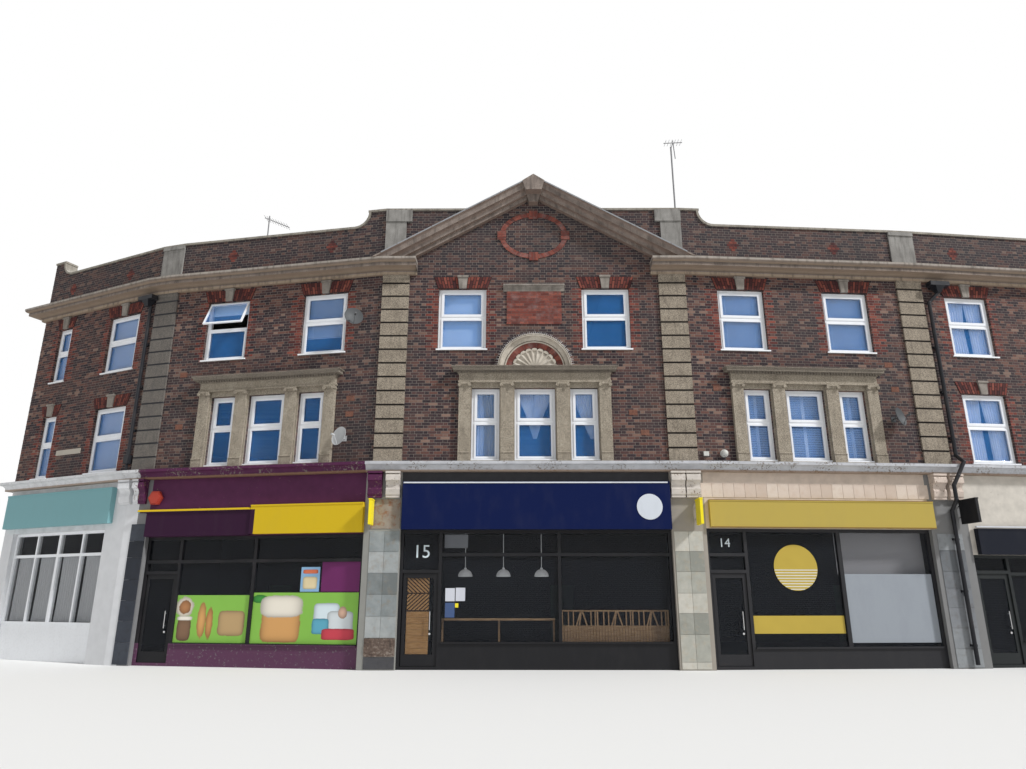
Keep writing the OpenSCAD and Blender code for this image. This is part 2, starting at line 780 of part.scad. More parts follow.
module gable_pier() {
  cap_x = centre_w / 2 - quoin_w;
  neck_x = centre_w / 2 - pier_neck_w;
  rake_z = apex_z + seat * 2;
  centre_face(0, -seat) {
    linear_extrude(pier_cap_d)
      polygon([[cap_x, raised_top - pier_cap_h], [cap_x, raised_top - coping_h],
               [centre_w / 2, raised_top - coping_h], [centre_w / 2, raised_top - pier_cap_h]]);
    linear_extrude(pier_d)
      polygon([[neck_x, rake_z - neck_x * rise_ratio], [neck_x, raised_top - pier_cap_h + 1],
               [centre_w / 2, raised_top - pier_cap_h + 1], [centre_w / 2, rake_z - centre_w / 2 * rise_ratio]]);
  }
}

module parapet_piers() {
  color("darkgray") {
    quoin_pier(1);
    quoin_pier(5);
    gable_pier();
    mirror([1, 0, 0]) gable_pier();
  }
}

// Quoin strip of stone blocks with a channel between each
quoin_cap_h = 250;
quoin_cap_d = 25;
block_h = (cornice_z - quoin_cap_h - ledge_top) / quoin_blocks;
module quoin_profile() {
  polygon(concat(
    [[0, ledge_top]],
    [for (i = [0 : quoin_blocks - 1]) each [
      [quoin_d - quoin_channel / 2, ledge_top + i * block_h],
      [quoin_d - quoin_channel / 2, ledge_top + i * block_h + quoin_channel / 4],
      [quoin_d, ledge_top + i * block_h + quoin_channel / 2],
      [quoin_d, ledge_top + (i + 1) * block_h - quoin_channel / 2],
      [quoin_d - quoin_channel / 2, ledge_top + (i + 1) * block_h - quoin_channel / 4]
    ]],
    [[quoin_d, ledge_top + quoin_blocks * block_h], [quoin_d, cornice_z - 90],
     [quoin_d + quoin_cap_d, cornice_z - 60], [quoin_d + quoin_cap_d, cornice_z - seat], [0, cornice_z - seat]]
  ));
}

module quoins() {
  color("darkkhaki") {
    moulded_run(1, 0, quoin_w, half_bend(1), half_bend(2)) quoin_profile();
    moulded_run(3, 0, quoin_w, half_bend(3), 0) quoin_profile();
    moulded_run(3, centre_w - quoin_w, centre_w, 0, half_bend(4)) quoin_profile();
    moulded_run(5, 0, quoin_w, half_bend(5), half_bend(6)) quoin_profile();
  }
}

// Three-light window surround: a stone backing, pilasters with scrolled capitals, and an entablature
entablature_h = 540;
backing_d = 45;
pilaster_d = 110;
pilaster_w = mullion_w - 60;
jamb_w = 30;
plinth_h = 280;
plinth_over = 25;
bead_r = 18;
capital_h = 130;
capital_over = 60;
volute_r = 44;
light_head = first_sill_z + first_window_h;
frieze_z = light_head + capital_h;
surround_top = light_head + entablature_h;

// Side view of a pilaster as [out, height]: plinth, bead, shaft, neck bead, cove and abacus
plinth_z = ledge_top + plinth_h;
pilaster_outline = concat(
  [[0, ledge_top + seat], [pilaster_d + plinth_over, ledge_top + seat]],
  arc_points([pilaster_d + plinth_over, plinth_z - 2 * bead_r], bead_r, -90, 90, 6),
  [[pilaster_d + bead_r / 2, plinth_z - bead_r], [pilaster_d, plinth_z]],
  arc_points([pilaster_d, light_head + bead_r / 2], bead_r / 2, -90, 90, 4),
  arc_points([pilaster_d + capital_over, light_head + bead_r + 1], capital_over, 180, 90, 5),
  [[pilaster_d + capital_over, frieze_z], [0, frieze_z]]
);

module pilaster(x, w) {
  translate([x - w / 2, 0, 0])
    profile_bar(w)
      polygon(pilaster_outline);
  for (side = [-1, 1])
    translate([x + side * (w - volute_r) / 2, 0, frieze_z - volute_r - 30])
      rotate([90, 0, 0])
        cylinder(h = pilaster_d + capital_over + 20, r = volute_r);
}

// Side view of the entablature as [out from the pilasters, height]: fillet, frieze, cove, corona and cap
dentil_h = 52;
dentil_w = 44;
dentil_d = 45;
dentil_pitch = 76;
bed_out = 30;
corona_out = 150;
cap_out = 190;
corona_z = surround_top - 105;
dentil_z = corona_z - dentil_h;
entablature_outline = concat(
  [[22, frieze_z], [22, frieze_z + 45], [8, frieze_z + 58], [0, frieze_z + 70]],
  arc_points([bed_out, dentil_z - bed_out - 8], bed_out, 180, 90, 5),
  [[bed_out, corona_z], [corona_out, corona_z], [corona_out, corona_z + 45]],
  arc_points([cap_out, corona_z + 50], cap_out - corona_out - 6, 180, 90, 5),
  [[cap_out, surround_top]]
);
// The same outline seen from the front and from the side: where the two meet, the mouldings turn the corner
module entablature() {
  half = surround_w / 2;
  o = entablature_outline;
  intersection() {
    translate([-surround_w, 0, 0])
      profile_bar(2 * surround_w)
        polygon(concat([[0, frieze_z]], [for (p = o) [pilaster_d + p[0], p[1]]], [[0, surround_top]]));
    face_plate(pilaster_d + cap_out + 1)
      polygon(concat([for (p = o) [half + p[0], p[1]]],
                     [for (i = [len(o) - 1 : -1 : 0]) [-half - o[i][0], o[i][1]]]));
  }
}

module dentil_row(w) {
  count = floor((w - dentil_w) / dentil_pitch);
  first = -(count * dentil_pitch + dentil_w) / 2;
  translate([0, 0, dentil_z])
    linear_extrude(dentil_h)
      polygon(concat(
        [for (i = [0 : count]) each [
          [first + i * dentil_pitch, -pilaster_d - bed_out],
          [first + i * dentil_pitch, -pilaster_d - bed_out - dentil_d],
          [first + i * dentil_pitch + dentil_w, -pilaster_d - bed_out - dentil_d],
          [first + i * dentil_pitch + dentil_w, -pilaster_d - bed_out]
        ]],
        [[first + count * dentil_pitch + dentil_w, -pilaster_d], [first, -pilaster_d]]
      ));
}

module surround_front() {
  inner_x = (mid_light_w + mullion_w) / 2;
  outer_x = (surround_w - outer_pilaster_w) / 2;
  face_plate(backing_d)
    difference() {
      translate([-surround_w / 2, ledge_top + seat])
        square([surround_w, frieze_z - ledge_top - seat]);
      for (l = [[-light_offset, side_light_w], [0, mid_light_w], [light_offset, side_light_w]])
        translate([l[0] - l[1] / 2, first_sill_z])
          square([l[1], first_window_h]);
    }
  for (side = [-1, 1]) {
    pilaster(side * inner_x, pilaster_w);
    pilaster(side * (outer_x + jamb_w / 2 - seat), outer_pilaster_w - jamb_w);
  }
  entablature();
  dentil_row(surround_w);
}

module window_surrounds() {
  color("tan")
    for (k = surround_runs)
      on_wall(k, run_len[k] / 2)
        surround_front();
}

// Half-round hood with a fan of shell flutes over the centre window
lunette_r = 970;
hood_w = 210;
hood_d = 200;
arch_ring_w = 150;
lunette_drop = 60;
lunette_z = surround_top - lunette_drop;
shell_r = lunette_r - hood_w - arch_ring_w;
shell_back = 15;
shell_d = 75;
shell_flutes = 11;
flute_pitch = 180 / shell_flutes;
flute_end_r = shell_r * sin(flute_pitch / 2) / (1 + sin(flute_pitch / 2));
flute_len = shell_r - flute_end_r;
boss_r = 75;

// Section of the hood as [radius, out]
hood_outline = concat(
  [[lunette_r - hood_w, 0], [lunette_r - hood_w, 60], [lunette_r - hood_w + 35, 60]],
  arc_points([lunette_r - hood_w + 35, hood_d - 30], hood_d - 90, -90, 0, 6),
  [[lunette_r - 55, hood_d - 30], [lunette_r - 55, hood_d], [lunette_r, hood_d], [lunette_r, 0]]
);

module above_surround() {
  translate([-reach, -reach, surround_top + seat])
    cube([2 * reach, 2 * reach, reach]);
}

module half_ring(z) {
  translate([0, 0, z])
    rotate([90, 0, 0])
      rotate_extrude(angle = 180, $fn = 144)
        children();
}

module shell_fan() {
  rotate([90, 0, 0])
    difference() {
      union() {
        linear_extrude(shell_back)
          circle(shell_r - seat, $fn = 144);
        linear_extrude(shell_d)
          for (i = [0 : shell_flutes - 1])
            rotate([0, 0, (i + 0.5) * flute_pitch]) {
              translate([flute_len, 0])
                circle(flute_end_r);
              polygon([[0, 0], [flute_len, -flute_end_r], [flute_len, flute_end_r]]);
            }
      }
      for (i = [0 : shell_flutes - 1])
        rotate([0, 0, (i + 0.5) * flute_pitch])
          translate([boss_r, 0, shell_d + flute_end_r * 0.35])
            rotate([0, 90, 0])
              cylinder(h = flute_len - boss_r, r1 = boss_r * 0.2, r2 = flute_end_r * 0.92);
    }
}

module lunette() {
  color("tan")
    on_wall(centre_run, centre_w / 2)
      intersection() {
        union() {
          half_ring(lunette_z)
            polygon(hood_outline);
          translate([0, 0, lunette_z]) {
            shell_fan();
            rotate([90, 0, 0])
              cylinder(h = shell_d + 15, r = boss_r);
          }
        }
        above_surround();
      }
}

// Raised brick panel with a stone cap, and the oval brick ring with four keys in the gable
panel_z = 8630;
panel_w = 1470;
panel_h = 940;
panel_d = 25;
oval_z = 11250;
oval_rx = 940;
oval_rz = 700;
oval_band = 130;
oval_key_w = 250;
oval_key_h = 240;
oval_key_d = 40;

module oval(rx, rz) {
  polygon([for (a = [0 : 9 : 351]) [rx * cos(a), rz * sin(a)]]);
}

module oval_key(x, z, w, h) {
  translate([x - w / 2, z - h / 2])
    square([w, h]);
}

module oval_keys() {
  mid = oval_band / 2;
  for (side = [-1, 1]) {
    oval_key(0, side * (oval_rz - mid), oval_key_w, oval_key_h);
    oval_key(side * (oval_rx - mid), 0, oval_key_h, oval_key_w);
  }
}

module brick_ornaments() {
  color("firebrick") {
    centre_face(panel_z, -seat)
      linear_extrude(panel_d)
        translate([-panel_w / 2, 0])
          square([panel_w, panel_h]);
    centre_face(oval_z, -seat) {
      linear_extrude(panel_d)
        difference() {
          oval(oval_rx, oval_rz);
          oval(oval_rx - oval_band, oval_rz - oval_band);
        }
      linear_extrude(oval_key_d)
        oval_keys();
    }
    on_wall(centre_run, centre_w / 2)
      intersection() {
        half_ring(lunette_z)
          translate([shell_r, 0])
            square([arch_ring_w - seat, 55]);
        above_surround();
      }
  }
}

// Flat gauged arch over a window: splayed at both ends, with the keystone left out
arch_over = 60;
arch_splay = 90;
arch_d = 12;
module arch_outline(w, h) {
  polygon([[-w / 2 - arch_over / 2, 0], [w / 2 + arch_over / 2, 0],
           [w / 2 + arch_over + arch_splay, h], [-w / 2 - arch_over - arch_splay, h]]);
}

key_foot = 0.36;
module key_outline(z, grow) {
  polygon([[-keystone_w * key_foot - grow, z], [keystone_w * key_foot + grow, z],
           [keystone_w / 2 + grow, z + keystone_h], [-keystone_w / 2 - grow, z + keystone_h]]);
}

key_cap_h = 55;
module key_cap(z, grow) {
  translate([-keystone_w * 0.56 - grow, z + keystone_h - key_cap_h])
    square([keystone_w * 1.12 + 2 * grow, key_cap_h]);
}

module window_arch(w, z) {
  on_wall(w[0], w[1])
    face_plate(arch_d)
      difference() {
        translate([0, z])
          arch_outline(w[2], keystone_h - 25);
        key_outline(z, 2);
        translate([0, seat - 2])
          key_cap(z, 2);
      }
}

module gauged_arches() {
  color("firebrick") {
    for (w = second_windows)
      window_arch(w, second_sill_z + second_window_h);
    for (w = wing_windows)
      window_arch(w, first_sill_z + first_window_h);
  }
}

// Keystone with a capped top
keystone_d = 60;
module keystone(k, s, z) {
  on_wall(k, s) {
    face_plate(keystone_d)
      key_outline(z, 0);
    face_plate(keystone_d + 25)
      key_cap(z, 0);
  }
}

panel_cap_h = 190;
module keystones() {
  color("tan") {
    for (w = second_windows)
      keystone(w[0], w[1], second_sill_z + second_window_h);
    for (w = wing_windows)
      keystone(w[0], w[1], first_sill_z + first_window_h);
    on_wall(centre_run, (centre_w - panel_w) / 2 - 90)
      profile_bar(panel_w + 180)
        translate([0, panel_z + panel_h])
          polygon(concat([[0, 0], [30, 0], [30, 60]], arc_points([100, 80], 70, 180, 90, 4),
                         [[110, 150], [110, panel_cap_h], [0, panel_cap_h]]));
  }
}

// Window: outer frame, middle rail and a sill; the top light of one window is hung open
rail_w = 60;
sill_h = 35;
sill_over = 40;
top_share = 0.46;
open_run = 2;
open_angle = 24;
open_rim = 45;
function top_light_h(h) = (h - 2 * frame_w - rail_w) * top_share;
function low_light_h(h) = (h - 2 * frame_w - rail_w) * (1 - top_share);
function in_surround(w, sill) = sill < second_floor_z && w[0] > 0 && w[0] < last_run;
function hung_open(w, sill) = w[0] == open_run && w[1] < run_len[open_run] / 2 && sill > second_floor_z;

module sash_frame(w, h, lug) {
  translate([0, reveal_d + frame_d, 0])
    face_plate(frame_d)
      difference() {
        square([w, h]);
        translate([frame_w, frame_w])
          square([w - 2 * frame_w, low_light_h(h)]);
        translate([frame_w, frame_w + low_light_h(h) + rail_w])
          square([w - 2 * frame_w, top_light_h(h)]);
      }
  translate([0, -seat, 0])
    cube([w, reveal_d + seat, sill_h]);
  translate([-lug, -sill_over - seat, 0])
    cube([w + 2 * lug, sill_over, sill_h]);
}

// Places children at the top edge of an open light, turned out from the wall
module open_light(w, h) {
  translate([frame_w - open_rim / 2, reveal_d, h - frame_w + open_rim / 2])
    rotate([-open_angle, 0, 0])
      children();
}

module open_light_rim(w, h) {
  wide = w - 2 * frame_w + open_rim;
  high = top_light_h(h) + open_rim;
  open_light(w, h)
    translate([0, 0, -high])
      face_plate(open_rim)
        difference() {
          square([wide, high]);
          translate([open_rim, open_rim])
            square([wide - 2 * open_rim, high - 2 * open_rim]);
        }
}

module open_light_glass(w, h) {
  wide = w - 2 * frame_w + open_rim;
  high = top_light_h(h) + open_rim;
  open_light(w, h)
    translate([open_rim, -(open_rim + glass_t) / 2, open_rim - high])
      cube([wide - 2 * open_rim, glass_t, high - 2 * open_rim]);
}

module sash_glass(w, h, top_light) {
  y = reveal_d + frame_d / 2 - glass_t / 2;
  translate([frame_w, y, frame_w])
    cube([w - 2 * frame_w, glass_t, low_light_h(h)]);
  if (top_light)
    translate([frame_w, y, frame_w + low_light_h(h) + rail_w])
      cube([w - 2 * frame_w, glass_t, top_light_h(h)]);
}

module at_rear_window(x, sill) {
  translate([x + rear_x_shift + window_w / 2, rear_y, sill])
    rotate([0, 0, 180])
      children();
}

module storey_frames(windows, sill, h) {
  for (w = windows)
    at_run(w[0], w[1] - w[2] / 2)
      translate([0, 0, sill]) {
        sash_frame(w[2], h, in_surround(w, sill) ? -seat : sill_over);
        if (hung_open(w, sill))
          open_light_rim(w[2], h);
      }
  for (x = rear_window_x)
    at_rear_window(x, sill)
      sash_frame(window_w, h, sill_over);
}

module storey_glass(windows, sill, h) {
  for (w = windows)
    at_run(w[0], w[1] - w[2] / 2)
      translate([0, 0, sill]) {
        sash_glass(w[2], h, !hung_open(w, sill));
        if (hung_open(w, sill))
          open_light_glass(w[2], h);
      }
  for (x = rear_window_x)
    at_rear_window(x, sill)
      sash_glass(window_w, h, true);
}

module first_floor_windows() {
  color("white") storey_frames(first_windows, first_sill_z, first_window_h);
}

module second_floor_windows() {
  color("white") storey_frames(second_windows, second_sill_z, second_window_h);
}

module first_floor_glass() {
  color("lightblue") storey_glass(first_windows, first_sill_z, first_window_h);
}

module second_floor_glass() {
  color("lightblue") storey_glass(second_windows, second_sill_z, second_window_h);
}

// Rear doors: a frame round a leaf with two sunk panels
rear_frame_w = 60;
rear_frame_d = 90;
rear_leaf_t = 45;
module rear_doors() {
  panel_x = rear_door_w - 4 * rear_frame_w;
  panel_top = rear_door_h * 0.55;
  color("seagreen")
    for (x = rear_door_x)
      translate([x - rear_door_w / 2, rear_y - reveal_d, ground_slab_t]) {
        face_plate(rear_frame_d)
          difference() {
            square([rear_door_w, rear_door_h]);
            translate([rear_frame_w, -1])
              square([rear_door_w - 2 * rear_frame_w, rear_door_h - rear_frame_w + 1]);
          }
        face_plate(rear_leaf_t)
          difference() {
            translate([rear_frame_w, 0])
              square([rear_door_w - 2 * rear_frame_w, rear_door_h - rear_frame_w]);
            translate([2 * rear_frame_w, 2 * rear_frame_w])
              square([panel_x, panel_top - 3 * rear_frame_w]);
            translate([2 * rear_frame_w, panel_top])
              square([panel_x, rear_door_h - panel_top - 2 * rear_frame_w]);
          }
        translate([0, -rear_leaf_t / 4, 0])
          face_plate(rear_leaf_t / 2)
            translate([rear_frame_w, 0])
              square([rear_door_w - 2 * rear_frame_w, rear_door_h - rear_frame_w]);
      }
}

// Shopfront frame: posts, transom and solid stall riser, with the door opening left out
module shopfront(i) {
  at_run(shop_run[i], shop_from[i])
    translate([0, shop_reveal + shop_frame_d, 0]) {
      rotate([90, 0, 0])
        linear_extrude(shop_frame_d)
          difference() {
            translate([seat, 0])
              square([shop_w(i) - 2 * seat, shop_head[i] - seat]);
            for (l = shop_lights(i))
              translate([l[0], l[1]])
                square([l[2], l[3]]);
            if (shop_has_door[i])
              translate([shop_post_w, threshold_h])
                square([door_opening_w, door_opening_h - threshold_h]);
          }
      if (shop_has_door[i])
        door_pins();
      shop_sill_board(i);
    }
}

// Sill board that stands out in front of the stall riser
sill_board_d = 45;
sill_board_h = 40;
module shop_sill_board(i) {
  from = shop_columns[i][0][0];
  translate([from, -shop_frame_d - sill_board_d, shop_sill[i] - sill_board_h])
    cube([shop_w(i) - shop_post_w - from, sill_board_d + 1, sill_board_h]);
}

// Pivot pins that the door turns on, in the threshold and under the door head
pivot_offset = door_t / 2 + door_gap;
pin_l = 28;
module door_pins() {
  for (z = [threshold_h, door_opening_h - pin_l])
    translate([shop_post_w + pivot_offset, -shop_frame_d / 2, z])
      cylinder(h = pin_l, r = pivot_r);
}

module shop_panes(i) {
  at_run(shop_run[i], shop_from[i])
    for (l = shop_lights(i))
      translate([l[0], shop_reveal + shop_frame_d / 2 - glass_t / 2, l[1]])
        cube([l[2], glass_t, l[3]]);
}

// Door leaf with a rounded pivot edge, a bottom rail and a lock rail
bottom_rail_h = 260;
top_rail_h = 110;
module place_door(i) {
  at_run(shop_run[i], shop_from[i])
    translate([shop_post_w + pivot_offset, shop_reveal + shop_frame_d / 2, threshold_h + door_gap])
      children();
}

leaf_from = door_t / 2;
leaf_to = door_w - door_t / 2;
module door_leaf(i) {
  place_door(i)
    difference() {
      union() {
        cylinder(h = door_h, r = door_t / 2);
        translate([0, -door_t / 2, 0])
          cube([leaf_to, door_t, door_h]);
      }
      translate([stile_w - leaf_from, -reach / 2, bottom_rail_h])
        cube([door_w - 2 * stile_w, reach, door_h - bottom_rail_h - top_rail_h]);
      for (z = [-1, door_h - pin_l])
        translate([0, 0, z])
          cylinder(h = pin_l + 1, r = pivot_r + pivot_clear);
    }
}

module door_pane(i) {
  place_door(i)
    translate([stile_w - leaf_from, -glass_t / 2, bottom_rail_h])
      cube([door_w - 2 * stile_w, glass_t, door_h - bottom_rail_h - top_rail_h]);
}

// Name boards over the shops, left bare, each with a lip along its top
board_lip = 40;
module board(k, s_from, s_to, z_low, h, out) {
  on_wall(k, s_from)
    profile_bar(s_to - s_from)
      polygon([[0, z_low], [out, z_low], [out, z_low + h - board_lip], [out + 12, z_low + h - board_lip],
               [out + 12, z_low + h], [0, z_low + h]]);
}

board_h = [960, 630, 730, 1170, 680, 640];
board_d = [150, 90, 130, 170, 110, 140];
board_gap = 15;
tube_r = 42;
module shop_fascias() {
  board_split = bay_left_w / 2 - 95;
  color("steelblue") {
    board(0, 80, wing_w - pier_wing_w + 250, head_1 + 140, board_h[0], board_d[0]);
    board(2, 20, board_split, head_2, board_h[1], board_d[1]);
    board(2, board_split + board_gap, bay_left_w - 150, head_2 + 20, board_h[2], board_d[2]);
    board(3, pier_centre_w + 40, centre_w - pier_centre_w - 20, head_3, board_h[3], board_d[3]);
    board(4, 180, bay_right_w - board_gap, head_4 + 10, board_h[4], board_d[4]);
    board(6, 330, wing_w - 330, head_5, board_h[5], board_d[5]);
    on_wall(2, -230)
      translate([0, -board_d[1], head_2 + board_h[1] + tube_r / 2])
        rotate([0, 90, 0])
          cylinder(h = board_split + 230, r = tube_r);
  }
}

// Scrolled console: a side outline of [out, height below the ledge] with a roll at the top and the foot
console_w = 345;
console_h = 640;
console_d = 230;
roll_r = console_d * 0.34;
foot_r = console_d * 0.24;
abacus_h = 50;
cheek = 9;
foot_at = [foot_r + 25, foot_r - console_h + 40];
roll_at = [console_d - roll_r, -abacus_h - roll_r];
console_outline = concat(
  [[0, -abacus_h], [roll_at[0], -abacus_h], [console_d, roll_at[1]]],
  arc_points([console_d + 30, -console_h * 0.56], console_h * 0.21, 100, 215, 8),
  [[foot_at[0] + foot_r, foot_at[1]], [foot_at[0], foot_at[1] - foot_r], [0, -console_h + 40]]
);

module console_rolls(shrink) {
  translate(roll_at)
    circle(roll_r * shrink);
  translate(foot_at)
    circle(foot_r * shrink);
}

module console(k, s) {
  on_wall(k, s - console_w / 2)
    translate([0, 0, ledge_z - seat]) {
      profile_bar(console_w) {
        polygon(console_outline);
        console_rolls(1);
      }
      translate([-cheek, 0, 0])
        profile_bar(console_w + 2 * cheek)
          console_rolls(0.6);
      translate([-cheek, 0, -abacus_h])
        profile_bar(console_w + 2 * cheek)
          square([console_d + cheek, abacus_h]);
      translate([0, 0, -console_h])
        profile_bar(console_w)
          square([foot_r * 2, 45]);
    }
}

module consoles() {
  half = console_w / 2;
  color("rosybrown") {
    console(1, -20);
    console(1, quoin_w - half - 100);
    console(3, half - 75);
    console(3, quoin_w - half);
    console(3, centre_w - quoin_w + half - 15);
    console(3, centre_w - half - 12);
    console(5, half + 45);
    console(5, quoin_w - 55);
  }
}

// Round bar between two points, and a pipe with a ball at each bend
module rod(a, b, r) {
  v = b - a;
  translate(a)
    rotate([0, acos(v[2] / norm(v)), atan2(v[1], v[0])])
      cylinder(h = norm(v), r = r);
}

module bent_pipe(points, r) {
  for (i = [0 : len(points) - 2])
    rod(points[i], points[i + 1], r);
  for (i = [1 : len(points) - 2])
    translate(points[i])
      sphere(r * 1.08);
}

// Rainwater pipes with a hopper under the cornice
pipe_r = 48;
pipe_out = 90;
hopper_h = 300;
module pipe_clips(x, z_low, z_high) {
  for (z = [z_low : 1250 : z_high])
    translate([x - 75, -pipe_out, z])
      cube([150, pipe_out, 55]);
}

module hopper(x, z) {
  translate([x, -pipe_out - 70, z])
    rotate([0, 0, 45])
      cylinder(h = hopper_h * 0.6, r1 = pipe_r * 1.5, r2 = 200, $fn = 4);
  translate([x - 280, -pipe_out - 211, z + hopper_h * 0.6])
    cube([560, pipe_out + 211 - quoin_d - quoin_cap_d - 6, hopper_h * 0.4]);
}

module left_rain_pipe() {
  box_z = ledge_top + 220;
  on_wall(0, wing_w - 150) {
    rod([0, -pipe_out, box_z], [0, -pipe_out, cornice_z - hopper_h - 40], pipe_r);
    rod([0, -pipe_out, ledge_top + seat], [0, -pipe_out, box_z + 1], pipe_r * 0.7);
    translate([-85, -pipe_out - 70, box_z])
      cube([170, pipe_out + 70, 240]);
    pipe_clips(0, box_z + 900, cornice_z - 700);
  }
  on_wall(0, wing_w - 330)
    hopper(150, cornice_z - hopper_h - 60);
}

module right_rain_pipe() {
  low_x = 477 - quoin_w;
  nose = -ledge_d - pipe_r - 15;
  roll = -console_d - pipe_r - 35;
  on_wall(last_run, 0) {
    bent_pipe([
      [400, -pipe_out - 60, cornice_z - hopper_h - 40], [130, -pipe_out, cornice_z - hopper_h - 330],
      [130, -pipe_out, ledge_top + 260], [100, nose, ledge_top + 50],
      [low_x / 2, nose, ledge_z - 60], [low_x, roll, ledge_z - 300],
      [low_x, roll, ledge_z - console_h - 20], [low_x, -pipe_out, ledge_z - console_h - 280],
      [low_x, -pipe_out, 90]
    ], pipe_r);
    hopper(400, cornice_z - hopper_h - 60);
    pipe_clips(130, ledge_top + 700, cornice_z - 900);
  }
  on_wall(5, 477)
    pipe_clips(0, 500, ledge_z - console_h - 700);
}

module rain_pipes() {
  color("black") {
    left_rain_pipe();
    right_rain_pipe();
  }
}

// Dish aerial: a shallow bowl with a feed arm, on a wall bracket
dish_r = 250;
dish_focus = 220;
dish_t = 8;
function bowl(r) = r * r / 4 / dish_focus;
module dish(k, s, z, aim) {
  arm = [0, -dish_r * 0.95, 60];
  feed = [0, -40, dish_focus];
  on_wall(k, s)
    translate([0, 0, z]) {
      rod([0, 0, 0], [0, -230, 0], 16);
      face_plate(12)
        translate([-60, -70])
          square([120, 140]);
      translate([0, -225, 0])
        rotate([78, 0, aim]) {
          rotate_extrude()
            polygon(concat([for (i = [0 : 6]) [dish_r * i / 6, bowl(dish_r * i / 6)]],
                           [for (i = [6 : -1 : 0]) [dish_r * i / 6, bowl(dish_r * i / 6) + dish_t]]));
          rod(arm, feed, 9);
          rod(feed - [0, 0, 10], feed + [0, 0, 90], 27);
        }
    }
}

module satellite_dishes() {
  color("gainsboro") {
    dish(2, bay_left_w - 700, 8800, 35);
    dish(2, bay_left_w - 820, 5550, -25);
    dish(4, bay_right_w - 650, 6100, 35);
  }
}

// Aerial on a mast: a boom with cross rods
module yagi(at, boom, rods, w, drop) {
  translate(at) {
    rod([-boom / 2, 0, 0], [boom / 2, 0, -drop], 12);
    for (i = [0 : rods - 1]) {
      u = (i + 0.5) / rods;
      translate([boom * (u - 0.5), 0, -drop * u])
        rod([0, -w / 2, 0], [0, w / 2, 0], 5);
    }
  }
}

module roof_aerials() {
  mast_y = front_y + 900;
  small_y = front_y + 1700;
  color("silver") {
    translate([4200, mast_y, roof_z]) {
      rod([0, 0, 0], [0, 0, 4300], 24);
      rod([0, 0, 4230], [70, 0, 4460], 12);
      rod([70, 0, 4520], [110, 0, 3900], 14);
      yagi([70, 0, 4430], 560, 6, 320, -25);
    }
    translate([-8030, small_y, roof_z]) {
      rod([0, 0, 0], [0, 0, 2450], 18);
      yagi([250, 0, 2390], 780, 9, 380, 330);
    }
  }
}

// Signs that hang out over the pavement from a wall arm, left bare
module hanging_sign(k, s, z, w, h) {
  on_wall(k, s) {
    translate([-35, -w - 60, z])
      cube([70, w, h]);
    translate([-45, -w - 70, z + h - 30])
      cube([90, w + 20, 30]);
    rod([0, 0, z + h * 0.3], [0, -61, z + h * 0.3], 14);
    rod([0, 0, z + h * 0.75], [0, -61, z + h * 0.75], 14);
  }
}

sign_clear = 120;
module hanging_signs() {
  color("gold") {
    hanging_sign(3, sign_clear / 2, head_3 + 100, 330, 620);
    hanging_sign(3, centre_w - sign_clear, head_3 + 100, 450, 620);
    hanging_sign(6, 20, head_3 + 170, 600, 600);
  }
}

// Alarm box, wall lamp, junction box and a bare street name plate
alarm_r = 200;
lamp_r = 85;
module wall_fittings() {
  color("indianred") {
    on_wall(2, 190)
      translate([0, 0, 4155]) {
        face_plate(90)
          circle(alarm_r, $fn = 6);
        face_plate(110)
          circle(alarm_r * 0.8, $fn = 6);
      }
    on_wall(4, 685)
      translate([0, 0, 5130]) {
        face_plate(lamp_r * 0.8)
          circle(lamp_r + 12);
        translate([0, -lamp_r - 1, 0])
          sphere(lamp_r);
      }
    on_wall(4, 150)
      translate([0, 0, 5060])
        face_plate(75)
          square([130, 110]);
    on_wall(0, 1700)
      translate([0, 0, 5600])
        face_plate(22)
          difference() {
            square([1050, 150]);
            for (x = [30, 1020], z = [30, 120])
              translate([x, z])
                circle(7);
          }
  }
}

// Dome lamps that hang inside the centre shop
pendant_r = 185;
pendant_z = 2150;
dome_t = 6;
module pendant_lamps() {
  rod_top = first_floor_z - floor_t - seat;
  color("white")
    for (share = [0.28, 0.4, 0.52])
      at_run(centre_run, centre_w * share)
        translate([0, 1200, pendant_z]) {
          rotate_extrude()
            polygon(concat(arc_points([0, 0], pendant_r, 0, 84, 9), arc_points([0, 0], pendant_r - dome_t, 84, 0, 9)));
          translate([0, 0, pendant_r - 15])
            cylinder(h = 50, r = 32);
          translate([0, 0, pendant_r + 20])
            cylinder(h = rod_top - pendant_z - pendant_r - 20, r = 8);
        }
}

// Slatted bench with a lattice back, and a plank shelf on brackets, behind the centre shop's glass
bench_d = 420;
bench_z = 970;
slat_w = 48;
slat_gap = 22;
lattice_h = 390;
bar_w = 34;
shelf_z = 1100;
shelf_t = 45;
module bench_lattice(w) {
  bays = 3;
  bay = (w - bar_w) / bays;
  face_plate(35)
    difference() {
      square([w, lattice_h]);
      for (i = [0 : bays - 1])
        translate([bar_w + i * bay, bar_w])
          difference() {
            square([bay - bar_w, lattice_h - 2 * bar_w]);
            for (x = [0.14, 0.28, 0.78, 0.9])
              translate([bay * x, -1])
                square([bar_w * 0.8, lattice_h]);
            for (x = [0.36, 0.44])
              polygon([[bay * x, -1], [bay * x + bar_w, -1], [bay * 0.53 + bar_w / 2, lattice_h],
                       [bay * 0.53 - bar_w / 2, lattice_h]]);
            polygon([[bay * 0.7 - bar_w, -1], [bay * 0.7, -1], [bay * 0.53 + bar_w / 2, lattice_h],
                     [bay * 0.53 - bar_w / 2, lattice_h]]);
          }
    }
}

